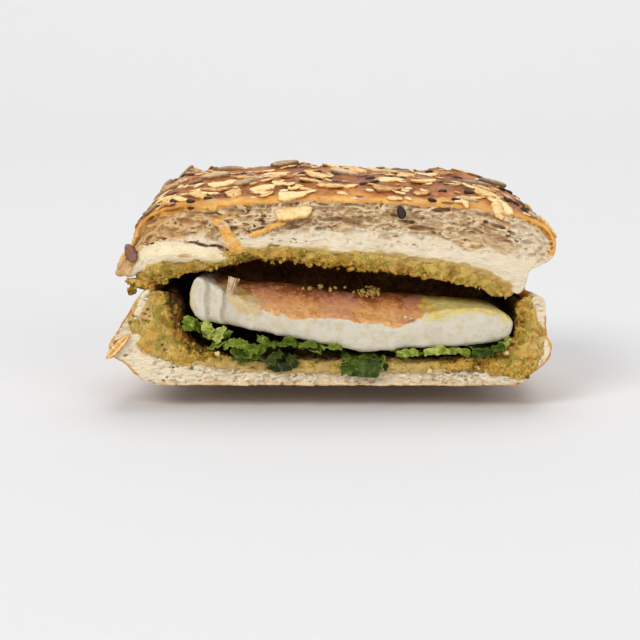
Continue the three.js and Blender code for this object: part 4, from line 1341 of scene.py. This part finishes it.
def makeCheese(look):
    grid = gridOf(look)
    field = loftField(cheeseLine, cheeseDepths, grid)
    px, pz, points = faceOf(grid)
    ridgeX, ridgeDepth = np.array(look["ridges"]).T
    slant = px + 0.12 * (pz - 24) + 1.7 * noiseAt(points, (7, 1, 4.5), 307)
    front = look["frontY"] + np.interp(slant, ridgeX, ridgeDepth)
    front += 0.5 * roughAt(points, (7, 1, 5), 301)
    front += 0.3 * np.abs(noiseAt(points, (1.6, 1, 4), 311))
    nearEdge = np.clip(1 + field[:, np.searchsorted(grid[1], roll["cutY"])] / 1.5, 0, 1)
    front += 0.9 * nearEdge ** 2 * smoothstep(px, -38, -30)
    field = cutAway(field, grid, front)
    nudge(field, grid, 1.4, lambda p: 0.34 * roughAt(p, 3.2, 321) + 0.1 * noiseAt(p, 1, 331))
    vertices, faces = surfaceOf(field, grid)
    x, y, z = vertices.T
    normals = normalsOf(vertices, faces)

    # What the paint reads
    wobble = 2.2 * noiseAt(vertices, 4, 341)
    outline, columns = cheeseLine(roll["cutY"]), np.arange(-42, 54)
    highest = [outline[np.abs(outline[:, 0] - at) < 3, 1].max() for at in columns]
    belowTop = np.interp(x, columns, highest) - z
    topSide = belowTop + 0.5 * noiseAt(vertices, 1.6, 351) + 0.3 * noiseAt(vertices, 5, 355)
    topSide = fading(topSide, 0.3, 1.4)
    tanSpan = smoothstep(x + wobble, look["tanFrom"] - 19, look["tanFrom"] - 15)
    tanSpan *= fading(x + wobble, look["tanTo"] - 1, look["tanTo"] + 5)
    brokenEnd = smoothstep(x + wobble, -32.5, -28) * fading(x, -21, -17)
    brokenEnd *= fading(belowTop + wobble, 2, 7)
    rightSauce = smoothstep(x + wobble, look["tanTo"] - 5, look["tanTo"] + 3)
    rightSauce *= fading(belowTop + wobble, 0, 3.8)
    leftSauce = fading(x + 0.3 * wobble, -40.3, -38.8) * smoothstep(z, 18, 22)
    underSauce = 0.6 * smoothstep(-normals[:, 2], 0.3, 0.7) * smoothstep(y, -30, -27)
    masks = {
        "deep": smoothstep(y, -29, -22),
        "browned": np.maximum(topSide * np.maximum(tanSpan, smoothstep(y, -27, -20)), 0.62 * brokenEnd),
        "yellowed": fading(x + 1.5 * wobble, look["tanFrom"] - 7, look["tanFrom"] + 7),
        "stained": np.maximum.reduce([rightSauce, underSauce, leftSauce]),
    }
    return makePiece("cheeseSlab", vertices, faces, masks, cheesePaint())


belongs(makeCheese(cheeseLook), "cheese", "cheese")
print("cheese made")


# Leaves: thin ruffled sheets under the cheese
leafLook = {
    "thickness": 0.26, "longSteps": 50, "wideSteps": 34, "frill": 0.9, "fold": 1.4, "raggedness": 0.7,
    "frontY": -34.7, "bit": {"ruffle": 0.6, "curl": 0.9, "wet": 0.3},
}
leaves = [
    {"width": 4.6, "ruffle": 0.7, "curl": 0.8, "tone": 0.75, "wet": 0,
     "midrib": [(-39.6, -22, 14.4), (-39.9, -28, 16.2), (-40, -31, 17.2)]},
    {"width": 7.5, "ruffle": 0.7, "curl": 0.9, "tone": 1.0, "wet": 0,
     "midrib": [(-34.4, -19, 11.4), (-33.4, -27, 14.2), (-32.6, -31.8, 14)]},
    {"width": 3, "ruffle": 0.3, "curl": 0.3, "tone": 0.9, "wet": 0, "across": (0, 1, 0.4),
     "midrib": [(-35.2, -30, 11.2), (-31, -31, 12), (-26.4, -31.4, 13)]},
    {"width": 11, "ruffle": 0.8, "curl": 0.3, "tone": 0.7, "wet": 0,
     "midrib": [(-23, -16, 8.8), (-23.6, -26, 10.8), (-23.8, -31.4, 10.6), (-23.2, -32.8, 7.6)]},
    {"width": 7, "ruffle": 0.4, "curl": 0.3, "tone": 0.35, "wet": 0, "across": (0, 1, 0.15),
     "midrib": [(-17.4, -27, 11.8), (-10, -29.6, 11.6), (-2, -30.6, 10.8)]},
    {"width": 8.6, "ruffle": 0.5, "curl": -0.3, "tone": 0.0, "wet": 1,
     "midrib": [(-12.8, -20, 8.2), (-13.2, -29, 8.7), (-13.6, -32.8, 7.6), (-13.2, -33.4, 4.6)]},
    {"width": 13, "ruffle": 0.9, "curl": 0.4, "tone": 0.4, "wet": 0.8,
     "midrib": [(8.6, -25, 8.1), (8.8, -30.6, 8), (9.6, -33, 6.4), (9.4, -33.5, 3)]},
    {"width": 19, "ruffle": 0.35, "curl": 0.2, "tone": 0.85, "wet": 0,
     "midrib": [(29.6, -20, 8.6), (29.8, -27, 9.2), (30, -31.6, 9.8)]},
    {"width": 10, "ruffle": 0.4, "curl": 0.5, "tone": 0.45, "wet": 0.3,
     "midrib": [(45.2, -20, 10.8), (45, -27, 10.6), (45.2, -32, 10)]},
]
# Small scraps of leaf: middle, length, width, direction of the length in the cut, lean backwards, tone
leafBits = [
    ((-40.2, -31.6, 18.2), 4.4, 3.6, 1.2, 0.2, 0.95), ((-38.6, -31.4, 17.4), 3.6, 3.0, -0.6, 0.5, 0.8),
    ((-34.8, -32.2, 16.8), 5.2, 3.4, 1.9, 0.3, 1.15), ((-31.6, -32.0, 15.2), 5.6, 3.0, 0.9, 0.4, 1.2),
    ((-28.4, -32.6, 11.8), 4.6, 2.4, 0.2, 0.7, 1.0), ((-25.6, -32.8, 12.2), 5.4, 3.4, -0.4, 0.4, 0.95),
    ((-22.6, -32.8, 10.6), 5.0, 3.2, 0.5, 0.3, 0.85), ((-25.2, -32.6, 8.4), 5.2, 2.6, -0.1, 0.2, 0.35),
    ((-18.2, -32.4, 12.6), 5.6, 2.4, -0.35, 0.5, 0.7), ((-12.6, -32.2, 12.4), 6.0, 2.2, 0.1, 0.6, 0.6),
    ((-15.4, -33.0, 8.8), 4.6, 3.0, 0.8, 0.2, 0.3), ((-11.0, -33.0, 7.4), 4.2, 2.8, -0.9, 0.3, 0.15),
    ((-6.4, -31.8, 11.6), 5.4, 2.2, -0.1, 0.7, 0.75), ((0.6, -31.6, 11.0), 6.0, 1.6, 0.05, 0.8, 0.9),
    ((5.4, -33.2, 6.0), 4.6, 3.6, 0.4, 0.1, 0.55), ((14.4, -33.0, 6.4), 4.8, 2.6, -0.3, 0.2, 0.25),
    ((22.4, -32.4, 9.4), 6.4, 2.2, 0.1, 0.6, 1.05), ((31.0, -32.6, 10.0), 7.6, 2.2, 0.05, 0.7, 1.1),
    ((37.6, -32.4, 9.8), 5.6, 2.0, -0.2, 0.6, 0.95), ((43.6, -32.4, 9.4), 5.0, 2.4, 0.2, 0.4, 0.3),
    ((48.2, -32.4, 10.6), 5.2, 2.6, 0.5, 0.5, 0.5), ((50.6, -32.2, 12.6), 4.6, 2.2, 0.9, 0.4, 1.2),
]
leafShades = {
    "dark": (34, 48, 6), "mid": (70, 92, 12), "bright": (126, 144, 34), "pale": (190, 192, 104),
    "vein": (140, 154, 66), "stain": (116, 92, 26),
}


def leafPaint():
    paint = Paint("wiltedLeaf", {
        "Subsurface Weight": 0.15, "Subsurface Scale": 0.001, "Subsurface Radius": (0.6, 1, 0.2),
        "Coat Weight": 0.05, "Coat Roughness": 0.25, "Specular IOR Level": 0.22,
    }, leafShades)
    where = paint.place()
    mottle, fine, vein = paint.noise(where, 0.6), paint.noise(where, 2.6), paint.mask("vein")
    tone = 0.02 + 0.85 * paint.mask("tone") + 0.9 * mottle + 0.5 * fine
    green = paint.ramp(tone, (0.1, "dark"), (0.5, "mid"), (0.9, "bright"), (1, "pale"))
    green = paint.mix(0.4 * vein * paint.mask("tone"), green, "vein")
    green = paint.over(green, "pale", paint.mask("rim"), 0.5, 1, 0.3)
    green = paint.over(green, "stain", paint.noise(where, 0.4), 0.1, 0.18, 0.5)
    paint.wire("Base Color", green)
    paint.wire("Roughness", 0.55 - 0.2 * paint.mask("wet") + 0.3 * fine)
    paint.bump(mottle + 0.6 * fine + 0.5 * vein, 0.7, 0.35)
    return paint


# A sheet along a line: both faces and a rim, with its place along (u) and across (v) for the masks
def sheetAlong(line, across, halfAt, liftAt, thickness, longSteps, wideSteps):
    u, v = np.meshgrid(np.linspace(0, 1, longSteps + 1), np.linspace(-1, 1, wideSteps + 1))
    span = len(line) - 1
    middle = alongCurve(line, u * span)
    ahead, back = (alongCurve(line, np.clip(u + step, 0, 1) * span) for step in (0.004, -0.004))
    ahead = ahead - back
    ahead /= np.linalg.norm(ahead, axis=-1, keepdims=True)
    normal = np.cross(ahead, np.broadcast_to(np.asarray(across, float), ahead.shape))
    normal /= np.linalg.norm(normal, axis=-1, keepdims=True)
    flat = middle + np.cross(normal, ahead) * (halfAt(u, v) * v)[..., None]
    lift = liftAt(u, v, flat)
    sheets = [flat + normal * (lift + side * thickness)[..., None] for side in (0.5, -0.5)]
    numbers = np.arange(u.size).reshape(u.shape)
    corners = (numbers[:-1, :-1], numbers[:-1, 1:], numbers[1:, 1:], numbers[1:, :-1])
    upper = np.stack([corner.ravel() for corner in corners], 1)
    rim = np.concatenate([numbers[0, :-1], numbers[:-1, -1], numbers[-1, :0:-1], numbers[:0:-1, 0]])
    after = np.roll(rim, -1)
    edge = np.stack([rim, rim + u.size, after + u.size, after], 1)
    points = np.vstack([sheet.reshape(-1, 3) for sheet in sheets])
    faces = np.vstack([upper, upper[:, ::-1] + u.size, edge])
    return points, faces, np.tile(u.ravel(), 2), np.tile(v.ravel(), 2)


def leafMasks(u, v, leaf):
    side = np.abs(((u * 7 + np.abs(v) * 2.2) % 1) - 0.5) * 2
    vein = 0.6 * smoothstep(side, 0.82, 1) * smoothstep(np.abs(v), 0, 0.3)
    vein = np.maximum(np.exp(-((v / 0.07) ** 2)), vein)
    masks = {"vein": vein, "rim": smoothstep(np.abs(v), 0.8, 1)}
    return masks | {mask: np.full(len(u), leaf[mask]) for mask in ("tone", "wet")}


def makeLeaf(leaf, look, salt, longSteps, wideSteps):
    def halfAt(u, v):
        ragged = noiseAt(np.stack([u * 9, v * 1.5, 0 * u], -1), 1, salt)
        oval = np.sin(math.pi * (0.16 + 0.7 * u)) ** 0.6
        return leaf["width"] / 2 * oval * (1 + look["raggedness"] * ragged)

    def liftAt(u, v, flat):
        lift = leaf["ruffle"] * np.sin(7 * u + 3 * v) * np.abs(v) + leaf["curl"] * v * v
        lift = lift + look["frill"] * noiseAt(flat, 1.5, salt + 3) * (0.3 + np.abs(v))
        fold, crease = noiseAt(flat, 3, salt + 5), noiseAt(flat, 1.3, salt + 7)
        return lift + look["fold"] * (np.abs(fold) + 0.4 * np.abs(crease) - 0.45)

    points, faces, u, v = sheetAlong(
        leaf["midrib"], leaf.get("across", (1, 0, 0)), halfAt, liftAt, look["thickness"], longSteps, wideSteps
    )
    points[:, 1] = np.maximum(points[:, 1], look["frontY"] - 0.3 * np.abs(v))
    return points, faces, leafMasks(u, v, leaf)


def makeLeafBits(bits, look):
    made = []
    for number, (middle, length, width, direction, lean, tone) in enumerate(bits):
        ahead = np.array([math.cos(direction), -0.15, math.sin(direction)]) * length / 2
        across = (-math.sin(direction), math.sin(lean), math.cos(direction) * math.cos(lean))
        midrib = [middle - ahead, np.array(middle) + (0, -0.5, 0.3), middle + ahead]
        leaf = {"width": width, "tone": tone, "across": across, "midrib": midrib, **look["bit"]}
        made.append(makeLeaf(leaf, look, 700 + 10 * number, 16, 12))
    return makePiece("leafBits", *joined(made), leafGreen)


leafGreen = leafPaint()
for number, leaf in enumerate(leaves, 1):
    parts = makeLeaf(leaf, leafLook, 400 + 10 * number, leafLook["longSteps"], leafLook["wideSteps"])
    belongs(makePiece(f"leaf{number}", *parts, leafGreen), f"leaf_{number}", "leaf")
belongs(makeLeafBits(leafBits, leafLook), "leaf_4", "leaf")
print("leaves made")


# One seed about its middle, lengthwise along X: rings of points between two tips
def seedForm(kind, size, draw):
    length, width, depth = (size * half for half in halfOf(kind))
    rings, around = (15, 18) if size > 0.9 and length > 3 else (9, 10)
    s = np.cos(np.linspace(0.05, math.pi - 0.05, rings))[:, None]
    turn = np.linspace(0, 2 * math.pi, around, endpoint=False)[None, :]
    fullness = np.sqrt(1 - s ** 2)
    waves = draw.uniform(0, 6, 3)
    if kind == "oat":
        outline = 1 - 0.15 * s + 0.12 * np.sin(2.5 * s + waves[0]) + 0.08 * np.sin(8 * s + waves[1])
        across = np.cos(turn) * (fullness ** 0.7 * outline)
        up = np.sign(np.sin(turn)) * np.abs(np.sin(turn)) ** 0.6 * fullness ** 0.35
        x = s * length * (1 + 0.07 * np.sin(4 * across + waves[2]))
        up = up - 0.7 * np.exp(-(((across - 0.1 * np.sin(2 * s)) / 0.16) ** 2)) * (up > 0) * fullness
        up = up + 0.35 * np.sin(9 * across + 2 * s + waves[0]) * (up > 0)
        bend, twist = np.clip(draw.normal(0, 0.35, 2), -0.5, 0.5)
        z = up * depth * 0.8 + (bend * s ** 2 + twist * s * across) * size
    else:
        pointed = 1.5 if kind == "husk" else 0.9
        across = np.cos(turn) * fullness ** pointed * (1 - seedKinds[kind].get("narrow", 0) * s)
        x = s * length + 0 * turn
        z = np.sin(turn) * fullness ** 0.65 * depth
        if kind == "sunflower":
            z = z * (1 + 0.12 * np.cos(5 * across)) + draw.normal(0, 0.15) * s ** 2
        if kind == "husk":
            groove = np.exp(-((across / 0.22) ** 2)) * (np.sin(turn) > 0) * fullness
            z = z - 1.4 * depth * groove
    points = np.stack([x, across * width, z], -1).reshape(-1, 3)
    wobble = noiseAt(points + draw.uniform(0, 90, 3), 0.9 if length > 3 else 0.5, 601)
    points *= (1 + (0.55 if kind in ("lump", "crumb") else 0.06) * wobble)[:, None]
    tips = np.stack([points[:around].mean(axis=0), points[-around:].mean(axis=0)])
    numbers = np.arange(rings * around).reshape(rings, around)
    a, b = numbers[:-1], np.roll(numbers, -1, axis=1)[:-1]
    sides = ((a, a + around, b), (b, a + around, b + around))
    faces = [np.stack(corners, -1).reshape(-1, 3) for corners in sides]
    firstTip, lastTip = np.full(around, rings * around), np.full(around, rings * around + 1)
    first, last = numbers[0], numbers[-1]
    faces.append(np.stack([first, np.roll(first, -1), firstTip], 1))
    faces.append(np.stack([np.roll(last, -1), last, lastTip], 1))
    rim = np.concatenate([(np.maximum(np.abs(np.cos(turn)), 0.8 * s ** 2)).ravel() ** 4, [1, 1]])
    # Along the husk's groove the rim mask is raised, so its paint darkens the crease as painted shade
    if kind == "husk":
        rim[:-2] = 1.5 * np.maximum(rim[:-2], 0.8 * groove.ravel())
    return np.vstack([points, tips]), np.vstack(faces), rim


# Seeds and bits at the cut: kind, size, middle, direction of their length in the cut, how far they face up
hangingSeeds = [
    ("oat", 1.25, (-10.2, -32.8, 50.6), 0.12, 0.8), ("oat", 0.72, (47.9, -32.2, 51.2), -1.1, 0.6),
    ("blackSesame", 1.3, (20.2, -33, 50.8), 1.9, 0.5), ("brownFlax", 1.28, (-56.8, -32.9, 38.9), 1.97, 0.15),
    ("husk", 1.14, (-61.0, -33.0, 11.8), 0.82, 0.15),
    ("crumb", 0.8, (-32.5, -33.2, 9.8), 0.5, 0.2), ("crumb", 0.5, (-19.1, -33.0, 14.5), 1, 0.2),
    ("crumb", 0.75, (50.7, -33.0, 10.1), 0.2, 0.2), ("crumb", 0.5, (23.4, -31.2, 19.8), 0.2, 0.4),
    ("crumb", 0.55, (21.8, -31.2, 20.2), 0.9, 0.4), ("crumb", 0.9, (28.9, -33.4, 4.8), 1.5, 0.1),
]
# Clusters of pesto grains on the cheese: middle, spread, how many
lumpClusters = [
    ((11.4, -22.4, 26.0), (2.0, 0.9, 0.8), 44), ((-6, -22.6, 27.2), (6, 0.6, 0.3), 8),
]


def scatteredLumps():
    draw = np.random.default_rng(57)
    return [
        ("lump", draw.uniform(0.3, 0.8), draw.normal(middle, spread), draw.uniform(0, 3), 0.6)
        for middle, spread, count in lumpClusters for _ in range(count)
    ]


def seedPaint(kind):
    look = seedKinds[kind]
    shades = zip(("light", "middle", "dark"), look["shades"])
    surface = {"Subsurface Weight": 0.1, "Subsurface Scale": 0.001, "Specular IOR Level": 0.3}
    paint = Paint(look["piece"], surface, shades)
    where, shade = paint.place(), paint.mask("shade")
    fine, mottle = paint.noise(where, 3.2), paint.noise(where, 0.9)
    tone = 0.6 * paint.mask("rim") + 0.8 * shade * shade + 1.3 * mottle + 0.9 * fine
    paint.wire("Base Color", paint.ramp(tone, (0.05, "light"), (0.5, "middle"), (1, "dark")))
    paint.wire("Roughness", look["rough"] + 0.3 * fine)
    paint.bump(fine, 0.4, 0.2)
    return paint


def hangingFrame(direction, facing):
    lengthwise = np.array([math.cos(direction), 0, math.sin(direction)])
    up = np.array([0, -math.cos(facing), math.sin(facing)])
    across = np.cross(up, lengthwise)
    across /= np.linalg.norm(across)
    return np.stack([lengthwise, across, np.cross(lengthwise, across)])


def belongsAs(piece, kind):
    belongs(piece, *seedKinds[kind].get("home", ("top_bread", "crust")))


def makeSeeds(lying, hanging):
    draw = np.random.default_rng(31)
    placed = []
    for kind, t, y, turn, _, size in lying:
        middle, axes = seedFrame(t, y, turn)
        sunk = 0.25 * size * halfOf(kind)[2] + 0.12 + 0.2 * (size < 0.9)
        placed.append((kind, size, middle + axes[2] * sunk, axes, draw.normal(0, 0.07, 2), draw.random()))
    for kind, size, middle, direction, facing in hanging:
        placed.append((kind, size, np.array(middle), hangingFrame(direction, facing), (0, 0), 0.3))
    groups = {}
    for kind, size, middle, axes, tilt, shade in placed:
        points, faces, rim = seedForm(kind, size, draw)
        points[:, 2] += tilt[0] * points[:, 0] + tilt[1] * points[:, 1]
        masks = {"rim": rim, "shade": np.full(len(points), shade)}
        groups.setdefault(kind, []).append((middle + points @ axes, faces, masks))
    for kind, parts in groups.items():
        belongsAs(makePiece(seedKinds[kind]["piece"], *joined(parts), seedPaint(kind)), kind)


# A thin pale strip on the cheese: its line in X and Z, half widths, how far it stands back from the cut
stripLook = {
    "line": [(-28.6, 27.4), (-28, 29.6), (-27.4, 31.6)], "halves": (1.1, 1.4, 1.7), "back": 1.2,
    "thickness": 0.18,
}


def makeStrip(look):
    def halfAt(u, v):
        jag = noiseAt(np.stack([u * 6, np.sign(v), 0 * u], -1), 1, 820)
        return np.interp(u, (0, 0.5, 1), look["halves"]) * (1 + 0.2 * jag)

    def liftAt(u, v, flat):
        return 0.2 * np.sin(9 * v) + 0.3 * noiseAt(flat, 1.4, 830)

    middle = [(x, cutFaceY(x, z) + look["back"], z) for x, z in look["line"]]
    points, faces, u, v = sheetAlong(middle, (1, 0, 0.3), halfAt, liftAt, look["thickness"], 24, 16)
    masks = {"rim": 0.5 + 0.5 * np.sin(14 * v), "shade": 0.5 + 0.5 * noiseAt(points, (0.9, 4, 4), 840)}
    belongsAs(makePiece(seedKinds["strip"]["piece"], points, faces, masks, seedPaint("strip")), "strip")


makeStrip(stripLook)
makeSeeds(solidSeeds + smallFlakes, hangingSeeds + scatteredLumps())
print("seeds made")


# Floor, backdrop and lights, in metres
studio = {
    "floor": colour(219, 219, 220), "world": 0.36, "side": 2.6, "aimZ": 0.03,
    "profile": [(-1.5, 0), (0.6, 0), (1, 0.03), (1.25, 0.14), (1.4, 0.4), (1.45, 1.6)],
    "lights": [
        ("keyLight", (-1.5, -2.1, 2.1), 1.3, 58), ("topLight", (0.3, 0.6, 2.6), 1.8, 33),
        ("fillLight", (1.7, -2.3, 1.2), 1.6, 22),
    ],
}


def makeStudio(look):
    line = alongCurve(look["profile"], np.linspace(0, len(look["profile"]) - 1, 60))
    vertices = [(x / metre, y / metre, z / metre) for x in (-look["side"], look["side"]) for y, z in line]
    count = len(line)
    faces = [(i, count + i, count + i + 1, i + 1) for i in range(count - 1)]
    paper = Paint("paper", {"Base Color": look["floor"], "Roughness": 0.9})
    floor = makePiece("floor", np.array(vertices), np.array(faces), {}, paper)
    for name, place, size, power in look["lights"]:
        data = bpy.data.lights.new(name, "AREA")
        data.size, data.energy = size, power
        light = bpy.data.objects.new(name, data)
        light.location = place
        bpy.context.scene.collection.objects.link(light)
        aim = -light.location
        aim.z += look["aimZ"]
        light.rotation_mode = "QUATERNION"
        light.rotation_quaternion = aim.to_track_quat("-Z", "Y")
    world = bpy.data.worlds.new("studio")
    world.use_nodes = True
    background = world.node_tree.nodes["Background"]
    background.inputs["Color"].default_value = (1, 1, 1, 1)
    background.inputs["Strength"].default_value = look["world"]
    bpy.context.scene.world = world
    bpy.context.scene.view_settings.view_transform = "Standard"


makeStudio(studio)
print("studio lit")
